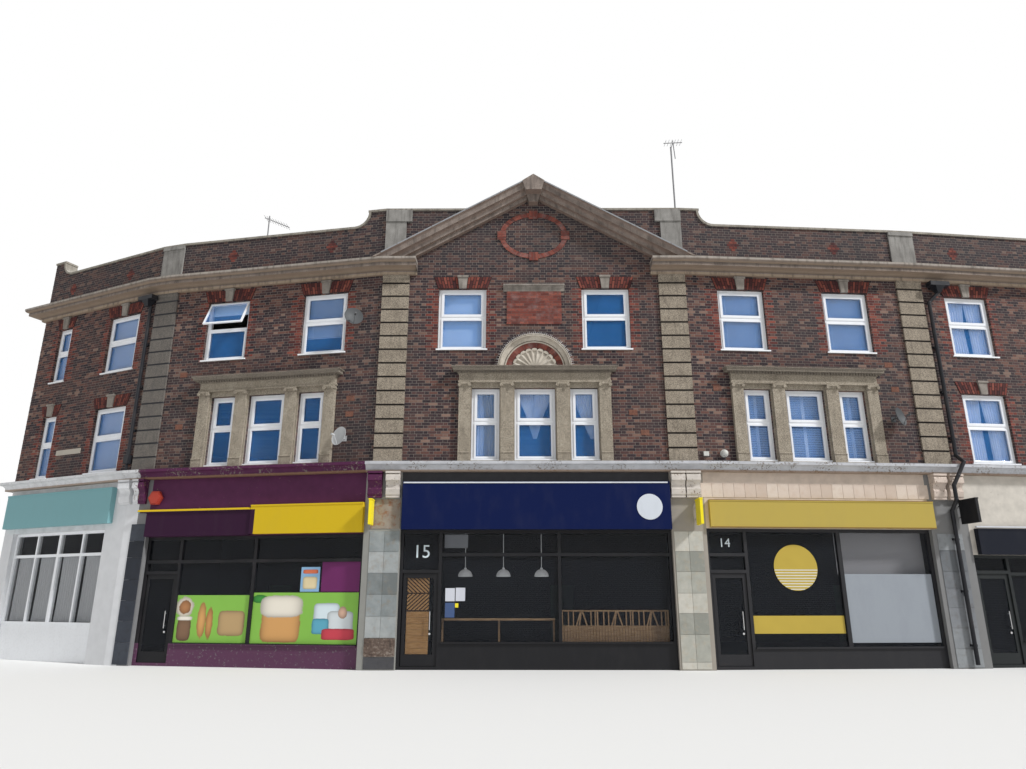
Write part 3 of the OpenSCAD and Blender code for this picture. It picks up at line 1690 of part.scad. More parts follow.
module window_bench() {
  from = shop_columns[2][1][0];
  w = shop_w(2) - shop_post_w - from - 60;
  shelf_from = shop_columns[2][0][0];
  shelf_w = from - shelf_from - 2 * shop_post_w;
  y = shop_reveal + shop_frame_d + 60;
  color("peru") {
    at_run(centre_run, shop_from[2] + from)
      translate([0, y, ground_slab_t]) {
        translate([0, 20, 0])
          cube([w, bench_d, bench_z - ground_slab_t - 20]);
        for (x = [0 : slat_w + slat_gap : w - slat_w])
          translate([x, 0, 0])
            cube([slat_w, 21, bench_z - ground_slab_t]);
        translate([0, 36, bench_z - ground_slab_t - 21])
          bench_lattice(w);
      }
    at_run(centre_run, shop_from[2] + shelf_from)
      translate([0, y, 0]) {
        translate([0, 0, shelf_z])
          cube([shelf_w, 320, shelf_t]);
        for (x = [0, shelf_w / 2, shelf_w - 45])
          translate([x, 130, ground_slab_t])
            cube([45, 60, shelf_z - ground_slab_t + 1]);
      }
  }
}

ground_floor();
first_floor();
second_floor();
roof_deck();
wing_wall_left();
bay_wall_left();
centre_wall();
bay_wall_right();
wing_wall_right();
end_wall_left();
end_wall_right();
rear_wall();
shop_piers();
shop_beams();
shop_ledge();
main_cornice();
pediment_cornice();
parapet_left();
parapet_right();
parapet_ramps();
parapet_copings();
parapet_piers();
quoins();
window_surrounds();
lunette();
brick_ornaments();
gauged_arches();
keystones();
first_floor_windows();
second_floor_windows();
first_floor_glass();
second_floor_glass();
rear_doors();
color("white") shopfront(0);  // shopfront_1
color("black") shopfront(1);  // shopfront_2
color("black") shopfront(2);  // shopfront_3
color("dimgray") shopfront(3);  // shopfront_4
color("darkslategray") shopfront(4);  // shopfront_5
color("lightblue") for (i = [0 : 4]) shop_panes(i);  // shop_glass
color("black") door_leaf(1);  // door_2
color("peru") door_leaf(2);  // door_3
color("dimgray") door_leaf(3);  // door_4
color("darkslategray") door_leaf(4);  // door_5
color("lightblue") door_pane(1);  // door_glass_2
color("lightblue") door_pane(2);  // door_glass_3
color("lightblue") door_pane(3);  // door_glass_4
color("lightblue") door_pane(4);  // door_glass_5
shop_fascias();
consoles();
rain_pipes();
satellite_dishes();
roof_aerials();
hanging_signs();
wall_fittings();
pendant_lamps();
window_bench();
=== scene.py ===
import json
import math
import bpy
from bpy.props import FloatProperty, FloatVectorProperty, PointerProperty
from bpy.types import Operator, Panel, PropertyGroup
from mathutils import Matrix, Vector

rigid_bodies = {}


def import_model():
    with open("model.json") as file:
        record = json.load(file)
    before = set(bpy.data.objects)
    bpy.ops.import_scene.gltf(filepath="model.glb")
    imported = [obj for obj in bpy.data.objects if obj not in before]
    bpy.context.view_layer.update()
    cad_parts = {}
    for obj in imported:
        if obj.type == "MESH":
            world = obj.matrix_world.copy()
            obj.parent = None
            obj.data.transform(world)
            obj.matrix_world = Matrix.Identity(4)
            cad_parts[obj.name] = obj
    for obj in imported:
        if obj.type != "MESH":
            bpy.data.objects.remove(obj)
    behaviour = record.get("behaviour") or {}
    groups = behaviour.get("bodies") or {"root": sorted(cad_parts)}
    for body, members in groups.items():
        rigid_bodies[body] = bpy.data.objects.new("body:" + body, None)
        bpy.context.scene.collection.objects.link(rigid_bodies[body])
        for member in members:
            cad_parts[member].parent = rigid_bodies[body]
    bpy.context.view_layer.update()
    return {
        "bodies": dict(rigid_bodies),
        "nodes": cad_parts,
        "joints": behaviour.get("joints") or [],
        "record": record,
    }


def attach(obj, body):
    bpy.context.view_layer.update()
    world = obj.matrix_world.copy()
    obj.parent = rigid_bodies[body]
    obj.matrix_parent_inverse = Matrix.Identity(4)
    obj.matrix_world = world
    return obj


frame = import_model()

bl_info = {
    "name": "Corner shop building",
    "version": (1, 0, 0),
    "blender": (4, 5, 0),
    "location": "3D View > Sidebar > Building",
    "description": "Brickwork, stone, windows, shopfronts and boards of a curved corner terrace",
    "category": "Object",
}

# Plan of the front: the length in metres, turn in degrees and start of each straight run of wall,
# and the end of the last one
RUN_LENGTH = (5.05, 0.72, 6.2, 8.19, 5.95, 0.72, 5.05)
RUN_TURN = (-24.5, -16.0, -10.7, 0.0, 4.3, 5.9, 7.0)
CORNERS = ((-15.4746, -2.05621), (-10.8793, -4.15041), (-10.1872, -4.34887), (-4.095, -5.5),
           (4.095, -5.5), (10.0283, -5.05388), (10.7444, -4.97987), (15.7568, -4.36443))
LEFT_WING, LEFT_QUOIN, LEFT_BAY, CENTRE, RIGHT_BAY, RIGHT_QUOIN, RIGHT_WING = range(7)
REAR_Y = 5.5
BODY = "building"

# Levels, in metres above the ground
LEDGE_TOP = 4.89
CORNICE_LOW = 10.05
CORNICE_TOP = 10.42
WALL_TOP = 11.56
RAISED_TOP = 12.03
APEX = 12.88
FIRST_SILL, FIRST_H = 4.95, 1.9
SECOND_SILL, SECOND_H = 7.9, 1.76

# Windows as (run, middle along the run, width)
WIDE, NARROW = 1.28, 0.62
WING_WINDOWS = ((LEFT_WING, 3.74, WIDE), (LEFT_WING, 1.08, NARROW),
                (RIGHT_WING, 1.31, WIDE), (RIGHT_WING, 3.97, NARROW))
SECOND_WINDOWS = WING_WINDOWS + ((LEFT_BAY, 1.64, WIDE), (LEFT_BAY, 4.56, WIDE), (CENTRE, 2.17, WIDE),
                                 (CENTRE, 6.02, WIDE), (RIGHT_BAY, 1.515, WIDE), (RIGHT_BAY, 4.435, WIDE))
SURROUND_MIDDLE = {LEFT_BAY: 3.1, CENTRE: 4.095, RIGHT_BAY: 2.975}
LIGHTS = tuple((k, mid + off, w) for k, mid in SURROUND_MIDDLE.items()
               for off, w in ((-1.275, 0.72), (0.0, 1.05), (1.275, 0.72)))
SURROUND_W = 3.93
SURROUND_TOP = 7.39

# The centre's quoins, the raised brickwork at the parapets' inner ends and the ceiling of the shops
QUOIN_W = 0.72
BAY_SHOULDER, WING_SHOULDER = 0.44, 0.40
SHOP_CEILING = 4.3

# Shop doors as (number, run, left end of the shopfront along it)
DOORS = ((2, LEFT_BAY, 0.03), (3, CENTRE, 0.76), (4, RIGHT_BAY, 0.09), (5, RIGHT_WING, 0.20))

# The way to the key light: over the viewer's right shoulder, so that the left wing lies in soft shade
SUN_FROM = (0.68, -0.37, 0.63)


# Modelling

def fresh():
    """Object mode with nothing selected."""
    if bpy.context.object and bpy.context.object.mode != "OBJECT":
        bpy.ops.object.mode_set(mode="OBJECT")
    bpy.ops.object.select_all(action="DESELECT")


def pick(*objects):
    fresh()
    for ob in objects:
        ob.select_set(True)
    bpy.context.view_layer.objects.active = objects[0]


def block(name, low, high):
    """A box between two corners, with its place in its mesh."""
    fresh()
    size = [b - a for a, b in zip(low, high)]
    bpy.ops.mesh.primitive_cube_add(size=1, location=[(a + b) / 2 for a, b in zip(low, high)], scale=size)
    ob = bpy.context.object
    ob.name = ob.data.name = name
    bpy.ops.object.transform_apply(location=True, rotation=True, scale=True)
    return ob


def drum(name, centre, radius, depth, sides=32, turn=(math.pi / 2, 0, 0)):
    """A short cylinder about a point; by default its flat faces look out of the wall."""
    fresh()
    bpy.ops.mesh.primitive_cylinder_add(vertices=sides, radius=radius, depth=depth, location=centre,
                                        rotation=turn)
    ob = bpy.context.object
    ob.name = ob.data.name = name
    bpy.ops.object.transform_apply(location=True, rotation=True, scale=True)
    return ob


def edit(ob, faces=None, edges=None):
    """Edit mode with only the faces or edges that pass a test selected; all of them without one."""
    pick(ob)
    bpy.ops.object.mode_set(mode="EDIT")
    bpy.ops.mesh.select_mode(type="EDGE" if edges else "FACE")
    bpy.ops.mesh.select_all(action="SELECT" if faces is None and edges is None else "DESELECT")
    if faces or edges:
        bpy.ops.object.mode_set(mode="OBJECT")
        if faces:
            for f in ob.data.polygons:
                f.select = faces(f)
        else:
            v = ob.data.vertices
            for e in ob.data.edges:
                e.select = edges(v[e.vertices[0]].co, v[e.vertices[1]].co)
        bpy.ops.object.mode_set(mode="EDIT")


def done():
    bpy.ops.object.mode_set(mode="OBJECT")


def soften(ob, size, steps=1, limit=40):
    """A bevel over the sharp edges, applied."""
    mod = ob.modifiers.new("Edge", "BEVEL")
    mod.width, mod.segments, mod.angle_limit = size, steps, math.radians(limit)
    apply_all(ob)


def apply_all(ob):
    pick(ob)
    for mod in list(ob.modifiers):
        bpy.ops.object.modifier_apply(modifier=mod.name)


def repeat(ob, count, step):
    """The piece repeated count times along step, as one mesh."""
    if count > 1:
        mod = ob.modifiers.new("Row", "ARRAY")
        mod.use_relative_offset, mod.use_constant_offset = False, True
        mod.constant_offset_displace, mod.count = step, count
        apply_all(ob)


def copy(ob, name, shift=(0, 0, 0)):
    new = ob.copy()
    new.data = ob.data.copy()
    new.name = new.data.name = name
    bpy.context.scene.collection.objects.link(new)
    move(new, shift)
    return new


def move(ob, shift=(0, 0, 0), turn=0.0):
    """Moves and turns the piece about the upright, and puts that in its mesh."""
    ob.location, ob.rotation_euler = shift, (0, 0, turn)
    pick(ob)
    bpy.ops.object.transform_apply(location=True, rotation=True, scale=True)


def to_run(ob, k, s=0.0, z=0.0):
    """From a wall's own axes (along, into the wall, up) to its place on run k."""
    a = math.radians(RUN_TURN[k])
    move(ob, (CORNERS[k][0] + s * math.cos(a), CORNERS[k][1] + s * math.sin(a), z), a)
    return ob


def join(name, parts):
    pick(*parts)
    if len(parts) > 1:
        bpy.ops.object.join()
    ob = bpy.context.object
    ob.name = ob.data.name = name
    return ob


def remove(*objects):
    pick(*objects)
    bpy.ops.object.delete()


def smooth(ob, angle=35):
    pick(ob)
    bpy.ops.object.shade_smooth_by_angle(angle=math.radians(angle))


def keep(ob, material, body=BODY):
    """Gives a finished piece its material and body."""
    ob.data.materials.clear()
    ob.data.materials.append(material)
    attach(ob, body)
    return ob


def set_out(name, parts, k, material, body=BODY):
    """Joins parts that stand on a wall's own axes into one finished piece on run k."""
    return keep(to_run(join(name, parts), k), material, body)


# Materials

def sign(what, swapped=False):
    """The method behind one plain sign between values of a material."""
    def method(self, other=0.0):
        a, b = (other, self) if swapped else (self, other)
        return self.finish.math(what, a, b)
    return method


class Value:
    """A value inside a material; plain signs between values add the nodes that work them out."""

    def __init__(self, finish, socket):
        self.finish, self.socket = finish, socket

    __add__, __sub__ = sign("ADD"), sign("SUBTRACT")
    __mul__, __truediv__ = sign("MULTIPLY"), sign("DIVIDE")
    __gt__, __lt__ = sign("GREATER_THAN"), sign("LESS_THAN")
    __mod__, __pow__ = sign("FLOORED_MODULO"), sign("POWER")
    __abs__, __round__, __floor__ = (sign(what) for what in ("ABSOLUTE", "ROUND", "FLOOR"))
    __rsub__ = sign("SUBTRACT", swapped=True)


class Finish:
    """The nodes of one material, with a short call for each kind that the finishes use."""

    def __init__(self, name, rough=0.8, **sockets):
        self.mat = bpy.data.materials.new(name)
        self.mat.use_nodes = True
        self.tree = self.mat.node_tree
        self.shader = self.tree.nodes["Principled BSDF"]
        self.shader.inputs["Roughness"].default_value = rough
        for key, value in {"Specular_IOR_Level": 0.2, **sockets}.items():
            self.shader.inputs[key.replace("_", " ")].default_value = value
        self.place = self.add("ShaderNodeTexCoord", out="Object")

    def add(self, kind, inputs=None, out=0, **settings):
        """A node with some inputs set or linked; one of its outputs is given back as a value."""
        node = self.tree.nodes.new(kind)
        for name, value in settings.items():
            setattr(node, name, value)
        for key, value in (inputs or {}).items():
            self.feed(node.inputs[key], value)
        return Value(self, node.outputs[out])

    def feed(self, socket, value):
        if isinstance(value, Value):
            self.tree.links.new(value.socket, socket)
        elif isinstance(value, tuple) and len(value) == 3 and socket.type == "RGBA":
            socket.default_value = (*value, 1.0)
        else:
            socket.default_value = value

    def math(self, what, a, b=0.0, clamp=False):
        return self.add("ShaderNodeMath", {0: a, 1: b}, operation=what, use_clamp=clamp)

    def between(self, value, low, high):
        """0 below low and 1 above high."""
        return self.add("ShaderNodeMapRange", {0: value, 1: low, 2: high}, clamp=True)

    def part(self, vector, axis):
        return self.add("ShaderNodeSeparateXYZ", {0: vector}, axis)

    def along(self, axis):
        """The place on the building along x, y or z."""
        return self.part(self.place, "xyz".index(axis))

    def mapped(self, location=(0, 0, 0), turn=0.0, scale=(1, 1, 1)):
        inputs = {"Vector": self.place, "Location": location, "Rotation": (0, 0, turn), "Scale": scale}
        return self.add("ShaderNodeMapping", inputs, vector_type="TEXTURE")

    def noise(self, size, detail=4.0, rough=0.55, stretch=None):
        """Noise whose patches are about size metres across."""
        at = self.mapped(scale=stretch) if stretch else self.place
        inputs = {"Vector": at, "Scale": 1.0 / size, "Detail": detail, "Roughness": rough}
        return self.add("ShaderNodeTexNoise", inputs)

    def pebbles(self, size, out="Distance"):
        return self.add("ShaderNodeTexVoronoi", {"Vector": self.place, "Scale": 1.0 / size}, out)

    def dice(self, vector):
        return self.add("ShaderNodeTexWhiteNoise", {0: vector}, noise_dimensions="3D")

    def tone(self):
        """The tone that toned() gave each loose piece of the mesh."""
        return self.add("ShaderNodeAttribute", out="Fac", attribute_name="tone")

    def join(self, x, y, z=0.0):
        return self.add("ShaderNodeCombineXYZ", {0: x, 1: y, 2: z})

    def blend(self, share, a, b):
        return self.add("ShaderNodeMix", {0: share, 6: a, 7: b}, 2, data_type="RGBA", clamp_factor=True)

    def ramp(self, value, stops, steps=False):
        node = self.tree.nodes.new("ShaderNodeValToRGB")
        ramp = node.color_ramp
        ramp.interpolation = "CONSTANT" if steps else "LINEAR"
        while len(ramp.elements) < len(stops):
            ramp.elements.new(1.0)
        for element, (at, colour) in zip(ramp.elements, stops):
            element.position = at
            element.color = (*colour, 1.0)
        self.feed(node.inputs[0], value)
        return Value(self, node.outputs[0])

    def zones(self, stops):
        """A colour for each stretch of the building from left to right, as (from x, colour)."""
        share = (self.along("x") + 16.0) / 32.0
        return self.ramp(share, [((at + 16.0) / 32.0, colour) for at, colour in stops], steps=True)

    def facing(self):
        """How far a face looks up, from -1 to 1."""
        return self.part(self.add("ShaderNodeNewGeometry", out="Normal"), 2)

    def colour(self, value):
        self.feed(self.shader.inputs["Base Color"], value)

    def rough(self, value, low, high):
        share = self.add("ShaderNodeMapRange", {0: value, 1: 0.0, 2: 1.0, 3: low, 4: high})
        self.feed(self.shader.inputs["Roughness"], share)

    def bump(self, height, depth):
        bump = self.add("ShaderNodeBump", {"Distance": depth, "Strength": 1.0, "Height": height})
        self.feed(self.shader.inputs["Normal"], bump)


def along_front(f):
    """Object coordinates as (along the run, into the wall, up), for whichever run a point is on."""
    x = f.along("x")
    place = f.mapped((*CORNERS[0], 0), math.radians(RUN_TURN[LEFT_WING]))
    for corner, turn in zip(CORNERS[1:], RUN_TURN[1:]):
        here = f.mapped((*corner, 0), math.radians(turn))
        place = f.add("ShaderNodeMix", {0: x > corner[0], 4: place, 5: here}, 1, data_type="VECTOR")
    return place


def bond(f, s, z, settings):
    """Flemish bond over (s, z): a random tone for each brick, and 1 on the joints."""
    unit, course = brick_unit(settings), settings.brick_h + settings.joint
    row = math.floor((z - LEDGE_TOP) / course)
    odd = row % 2.0
    u = (s + odd * (unit / 2)) / unit
    cell = math.floor(u)
    x = (u - cell) * unit
    head_from = settings.brick_l + settings.joint
    header = x > head_from
    a = x - header * head_from
    width = head_from - header * (head_from - (unit - head_from))
    dx = f.math("MINIMUM", a, width - a)
    b = z - LEDGE_TOP - row * course
    dz = f.math("MINIMUM", b, course - b)
    near = f.math("MINIMUM", dx, dz)
    half = settings.joint / 2
    joint = 1.0 - f.between(near, half * 0.7, half * 1.3)
    tone = f.dice(f.join(cell * 2.0 + header, row))
    return tone, joint


def brick_unit(settings):
    """A stretcher and a header with their joints."""
    return settings.brick_l * 1.5 + settings.joint * 1.5


def brick_colour(f, tone):
    """Mixed plum, brown and red stocks, mottled and sooty."""
    base = f.ramp(tone,
                  [(0.0, (0.016, 0.012, 0.018)), (0.3, (0.029, 0.020, 0.027)),
                   (0.55, (0.062, 0.033, 0.036)),
                         (0.8, (0.130, 0.057, 0.046)), (0.93, (0.175, 0.095, 0.075)),
                         (1.0, (0.25, 0.165, 0.13))])
    warm = f.between(f.noise(0.9, 3), 0.5, 0.72)
    base = f.blend(warm * 0.3, base, (0.155, 0.078, 0.056))
    mottle = f.noise(0.035, 5)
    base = f.blend(f.between(mottle, 0.35, 0.8), base, f.blend(0.28, base, (0.17, 0.12, 0.105)))
    grime = f.noise(1.6, 4, stretch=(1, 1, 2.4))
    base = f.blend(f.between(grime, 0.42, 0.72) * 0.55, base, (0.042, 0.037, 0.039))
    high = f.between(f.along("z"), CORNICE_LOW, CORNICE_TOP)
    return f.blend(high * 0.35, base, (0.040, 0.038, 0.043))


MORTAR = (0.26, 0.23, 0.205)
# Painted shade: the walls and ceilings inside the shops are coloured near-black for the shade in them
PAINTED_SHOP_SHADE = (0.085, 0.08, 0.075)
PLASTER = (0.66, 0.64, 0.60)


def brick_wall(name, place, depth, settings):
    """Brickwork for a wall's own mesh: joints, brick reveals, and a plastered inside with painted shade in
    the shops.
    """
    f = Finish(name, 0.9)
    local = place(f)
    into = depth(f, local)
    s = f.part(local, 0) + into
    tone, joint = bond(f, s, f.part(local, 2), settings)
    mortar = f.blend(f.noise(0.05, 4), f.blend(0.5, MORTAR, (0.12, 0.105, 0.095)), MORTAR)
    outside = f.blend(joint, brick_colour(f, tone), mortar)
    plaster_and_shop_shade = f.blend(f.noise(0.5, 5), PLASTER, (0.58, 0.55, 0.50))
    # painted shade: near-black under the shop ceiling, plaster over it
    plaster_and_shop_shade = f.blend(f.along("z") > SHOP_CEILING, PAINTED_SHOP_SHADE, plaster_and_shop_shade)
    from_left = f.part(f.mapped((*CORNERS[0], 0), math.radians(RUN_TURN[LEFT_WING])), 0)
    from_right = f.part(f.mapped((*CORNERS[7], 0), math.radians(RUN_TURN[RIGHT_WING])), 0) * -1.0
    off_ends = f.math("MINIMUM", from_left, from_right) > 0.01
    inside = f.between(into, 0.17, 0.172) * off_ends
    f.colour(f.blend(inside, outside, plaster_and_shop_shade))
    height = f.noise(0.004, 4) * 0.4 - joint
    f.bump(height, 0.005)
    return f.mat


def laid_brick(name, settings):
    """The faces of the laid bricks."""
    f = Finish(name, 0.85)
    local = along_front(f)
    tone, _ = bond(f, f.part(local, 0), f.part(local, 2), settings)
    f.colour(brick_colour(f, tone))
    f.rough(f.noise(0.02), 0.7, 0.95)
    f.bump(f.noise(0.004, 5) + f.noise(0.03, 2) * 0.6, 0.0018)
    return f.mat


# Rings of red brick on the centre as (middle, height, radius along, radius up, number of bricks)
OVAL = (RUN_LENGTH[CENTRE] / 2, 11.25, 0.875, 0.635, 52)
SHELL_ARCH = (RUN_LENGTH[CENTRE] / 2, 7.33, 0.685, 0.685, 38)


def red_brick(name, course=0.075, length=0.1125):
    """Soft red rubbers with thin joints, laid flat in the panel and fanned round the oval and the shell."""
    f = Finish(name, 0.88)
    local = along_front(f)
    s, z = f.part(local, 0), f.part(local, 2)
    row = math.floor(z / course)
    odd = row % 2.0
    u = s / (length * 2) + odd * 0.5
    cell = math.floor(u)
    dx = f.math("PINGPONG", u, 0.5) * (length * 2)
    near = f.math("MINIMUM", dx, f.math("PINGPONG", z, course / 2))
    index = row * 31.0 + cell
    for (mid, up, rx, rz, count), low, high in ((OVAL, 10.3, 12.5), (SHELL_ARCH, 7.0, 8.2)):
        a = (z - up) / rz
        b = (s - mid) / rx
        turn = f.math("ARCTAN2", a, b) * (count / (2 * math.pi))
        here = (z > low) * (z < high)
        gap = f.math("PINGPONG", turn, 0.5) * (2 * math.pi * rx / count)
        near = near * (1.0 - here) + gap * here
        brick = round(turn) * here
        index = index * (1.0 - here) + brick
    tone = f.dice(f.join(index, 0.5))
    base = f.ramp(tone,
                  [(0.0, (0.12, 0.036, 0.030)), (0.5, (0.19, 0.052, 0.040)), (1.0, (0.27, 0.082, 0.058))])
    base = f.blend(f.between(f.noise(0.05, 4), 0.45, 0.8), base, (0.10, 0.05, 0.045))
    base = f.blend(f.between(f.noise(0.22, 5), 0.5, 0.7) * 0.35, base, (0.34, 0.26, 0.25))
    joint = 1.0 - f.between(near, 0.003, 0.0055)
    f.colour(f.blend(joint, base, (0.13, 0.085, 0.075)))
    f.bump(f.noise(0.005, 4) * 0.4 - joint, 0.002)
    return f.mat


def stone(name, dark, mid, light, grain=0.012, pit=0.0025, streak=0.5, top=None, under=None,
          soot=(0.05, 0.045, 0.04), courses=(), hoops=()):
    """Weathered stone: grain, patches, dark runs down the face, and a pale or mossy top.

    courses are bands along the mouldings in their own tone, each (from height, to height, colour, share):
    soot in some, painted shade and painted light in others; hoops are dark rings round the middle of the
    shell, painted shade of its moulded rings with some soot, each (from radius, to radius)."""
    f = Finish(name, 0.9)
    fine = f.noise(grain, 5, 0.65)
    patch = f.noise(0.35, 4)
    body = f.ramp(fine * 0.55 + patch * 0.45,
                  [(0.30, dark), (0.5, mid), (0.68, light)])
    z = f.along("z") + patch * 0.012
    for low, high, tone, share in courses:
        here = f.between(z, low - 0.006, low) * f.between(z, high, high - 0.006)
        body = f.blend(here * share, body, tone)
    if hoops:
        local = along_front(f)
        a = f.part(local, 0) - SHELL_ARCH[0]
        b = f.part(local, 2) - SHELL_ARCH[1]
        radius = f.math("SQRT", a * a + b * b)
        radius = radius + (f.noise(0.05, 3) - 0.5) * 0.02
        # painted shade of the moulded rings, with some soot
        for low, high in hoops:
            here = f.between(radius, low - 0.005, low) * f.between(radius, high, high - 0.005)
            body = f.blend(here * 0.8, body, (0.075, 0.062, 0.05))
    runs = f.noise(0.10, 4, stretch=(1, 1, 7))
    body = f.blend(f.between(runs, 0.48, 0.72) * streak, body, soot)
    up = f.facing()
    if top:
        body = f.blend(f.between(up, 0.4, 0.9) * f.between(f.noise(0.08, 4), 0.3, 0.6), body, top)
    if under:
        body = f.blend(f.between(up * -1.0, 0.3, 0.9) * 0.8, body, under)
    f.colour(body)
    f.bump(fine + f.noise(0.06, 3) * 0.6, pit)
    return f.mat


QUOIN_BLOCK = 0.3777


def pebbled(name, dark, mid, light, size=0.011, streak=0.4, shade=(0.07, 0.06, 0.05), channels=False,
            sooty_from=None, shaded_left_of=None):
    """Cast stone with a coarse pebble facing: painted shade in the channels between blocks and left of a
    point along the front, and soot over a height."""
    f = Finish(name, 0.92)
    cell = f.pebbles(size)
    tint = f.dice(f.pebbles(size, "Color"))
    patch = f.noise(0.4, 4)
    body = f.ramp(tint * 0.5 + patch * 0.5,
                  [(0.22, dark), (0.5, mid), (0.8, light)])
    body = f.blend(f.between(cell, 0.45, 0.8), body, f.blend(0.6, body, shade))
    runs = f.noise(0.09, 4, stretch=(1, 1, 5))
    body = f.blend(f.between(runs, 0.5, 0.75) * streak, body, shade)
    # painted shade: the channels between the blocks are coloured near-black for the shade in them
    if channels:
        up = f.math("PINGPONG", f.along("z") - LEDGE_TOP, QUOIN_BLOCK / 2)
        body = f.blend(1.0 - f.between(up, 0.016, 0.034), body, (0.018, 0.015, 0.014))
    if sooty_from:
        soot = f.between(f.along("z"), sooty_from, sooty_from + 0.05)
        body = f.blend(soot * 0.5, body, (0.12, 0.105, 0.095))
    # painted shade: the quoins left of this point are darkened grey, as the left wing lies in shade
    if shaded_left_of:
        soot = f.along("x") < shaded_left_of
        body = f.blend(soot * 0.62, body, (0.075, 0.077, 0.085))
    f.colour(body)
    f.bump(f.noise(0.004, 3) - cell, 0.004)
    return f.mat


def chipped(name, stops, bare, amount=0.62, rough=0.6, shade=0.22, foot=None):
    """Old masonry paint that has flaked down to the stone; its colour changes from shop to shop.

    shade is how much its patches darken; foot is (height, colour) of a stained lower edge."""
    f = Finish(name, rough)
    paint = f.zones(stops)
    paint = f.blend(f.between(f.noise(0.25, 5), 0.35, 0.75), paint, f.blend(shade, paint, (0.0, 0.0, 0.0)))
    flake = f.noise(0.05, 6, 0.62)
    patchy = f.between(f.noise(0.7, 3), 0.47, 0.55)
    sound = (f.along("x") < -10.62) * 0.8
    gone = f.math("MULTIPLY", f.between(flake, amount, amount + 0.015), patchy - sound, clamp=True)
    stone_tone = f.blend(f.noise(0.02, 4), bare, f.blend(0.5, bare, (0.06, 0.05, 0.045)))
    face = f.blend(gone, paint, stone_tone)
    if foot:
        wet = f.along("z") + f.noise(0.07, 4) * 0.03
        face = f.blend(f.between(wet, foot[0] + 0.02, foot[0]) * 0.75, face, foot[1])
    f.colour(face)
    f.bump(f.noise(0.006, 4) * 0.3 - gone, 0.0025)
    return f.mat


def painted(name, stops, rough=0.4, grime=0.3, dirt=(0.12, 0.11, 0.10), low=None, high=None, **sockets):
    """Smooth paint, plastic or coated metal, dusty in patches and scuffed.

    low is (height, colour) for what lies under a height; high is (height, from x, to x, colour)
    for what is over it."""
    f = Finish(name, rough, **sockets)
    base = f.zones(stops) if isinstance(stops, list) else stops
    x, z = f.along("x"), f.along("z")
    if low:
        flaked = f.between(f.noise(0.06, 6, 0.62), 0.60, 0.63)
        base = f.blend(z < low[0], base, f.blend(flaked, low[1], (0.16, 0.13, 0.15)))
    if high:
        here = (x > high[1]) * (x < high[2])
        base = f.blend(here * (z > high[0]), base, high[3])
    dust = f.between(f.noise(0.3, 6, 0.6, stretch=(1, 1, 2.5)), 0.48, 0.8)
    f.colour(f.blend(dust * grime, base, dirt))
    f.rough(f.noise(0.05, 4), max(0.05, rough - 0.1), min(1.0, rough + 0.18))
    f.bump(f.noise(0.02, 3), 0.0004)
    return f.mat


def timber(name, dark, light, grain=(1, 1, 14), rough=0.5):
    """Oiled boards with the grain along one axis."""
    f = Finish(name, rough)
    rings = f.noise(0.016, 6, 0.6, stretch=grain)
    f.colour(f.ramp(rings, [(0.3, dark), (0.7, light)]))
    f.rough(rings, rough - 0.1, rough + 0.15)
    f.bump(rings, 0.0008)
    return f.mat


def glazing(name, tint, solid, gloss=0.5):
    """Window glass with a painted colour; solid is how much of it hides what is behind. In the upper windows
    the tint, darker in broad patches, is a painted reflection of the sky.
    """
    f = Finish(name, 0.03, Alpha=solid, IOR=1.45, Specular_IOR_Level=gloss)
    # painted reflection in the upper windows: the tint and its darker broad patches stand for the sky
    # reflected in the glass
    f.colour(f.blend(f.between(f.noise(0.9, 3), 0.3, 0.8), tint, tuple(c * 0.75 for c in tint)))
    return f.mat


def roofing(name):
    f = Finish(name, 0.95)
    lap = 1.0 - f.between(f.math("PINGPONG", f.along("x"), 0.5), 0.004, 0.012)
    tone = f.ramp(f.noise(0.8, 5), [(0.3, (0.10, 0.105, 0.11)), (0.7, (0.19, 0.195, 0.20))])
    grit = f.noise(0.004, 2)
    f.colour(f.blend(lap, f.blend(grit * 0.5, tone, (0.3, 0.3, 0.3)), (0.05, 0.05, 0.055)))
    f.bump(grit + lap, 0.002)
    return f.mat


def boards(name, pitch=0.14, under=None):
    f = Finish(name, 0.6)
    y = f.along("y")
    row = math.floor(y / pitch)
    seam = 1.0 - f.between(f.math("PINGPONG", y, pitch / 2), 0.0015, 0.004)
    grain = f.noise(0.02, 6, 0.6, stretch=(14, 1, 1))
    tone = f.dice(f.join(row, 0.0)) * 0.45 + grain * 0.55
    face = f.blend(seam, f.ramp(tone, [(0.2, (0.16, 0.095, 0.05)), (0.8, (0.36, 0.235, 0.13))]),
                   (0.03, 0.02, 0.015))
    f.colour(f.blend(f.facing() < -0.5, face, under) if under else face)
    f.bump(grain - seam, 0.0015)
    return f.mat


# Settings

def length(name, words, default, low, high):
    return FloatProperty(name=name, description=words, default=default, min=low, max=high, unit="LENGTH")


def tint(name, words, default):
    return FloatVectorProperty(name=name, description=words, default=default, size=3, min=0.0, max=1.0,
                               subtype="COLOR")


class BrickSettings(PropertyGroup):
    brick_l: length("Stretcher", "Length of a brick laid along the wall", 0.215, 0.19, 0.24)
    brick_h: length("Height", "Height of a brick", 0.065, 0.05, 0.075)
    joint: length("Joint", "Width of a mortar joint", 0.010, 0.006, 0.014)
    proud: length("Proud", "How far a brick stands out of the mortar", 0.003, 0.002, 0.008)
    edge: length("Worn edge", "Width of the worn edge round a brick's face", 0.0025, 0.001, 0.004)


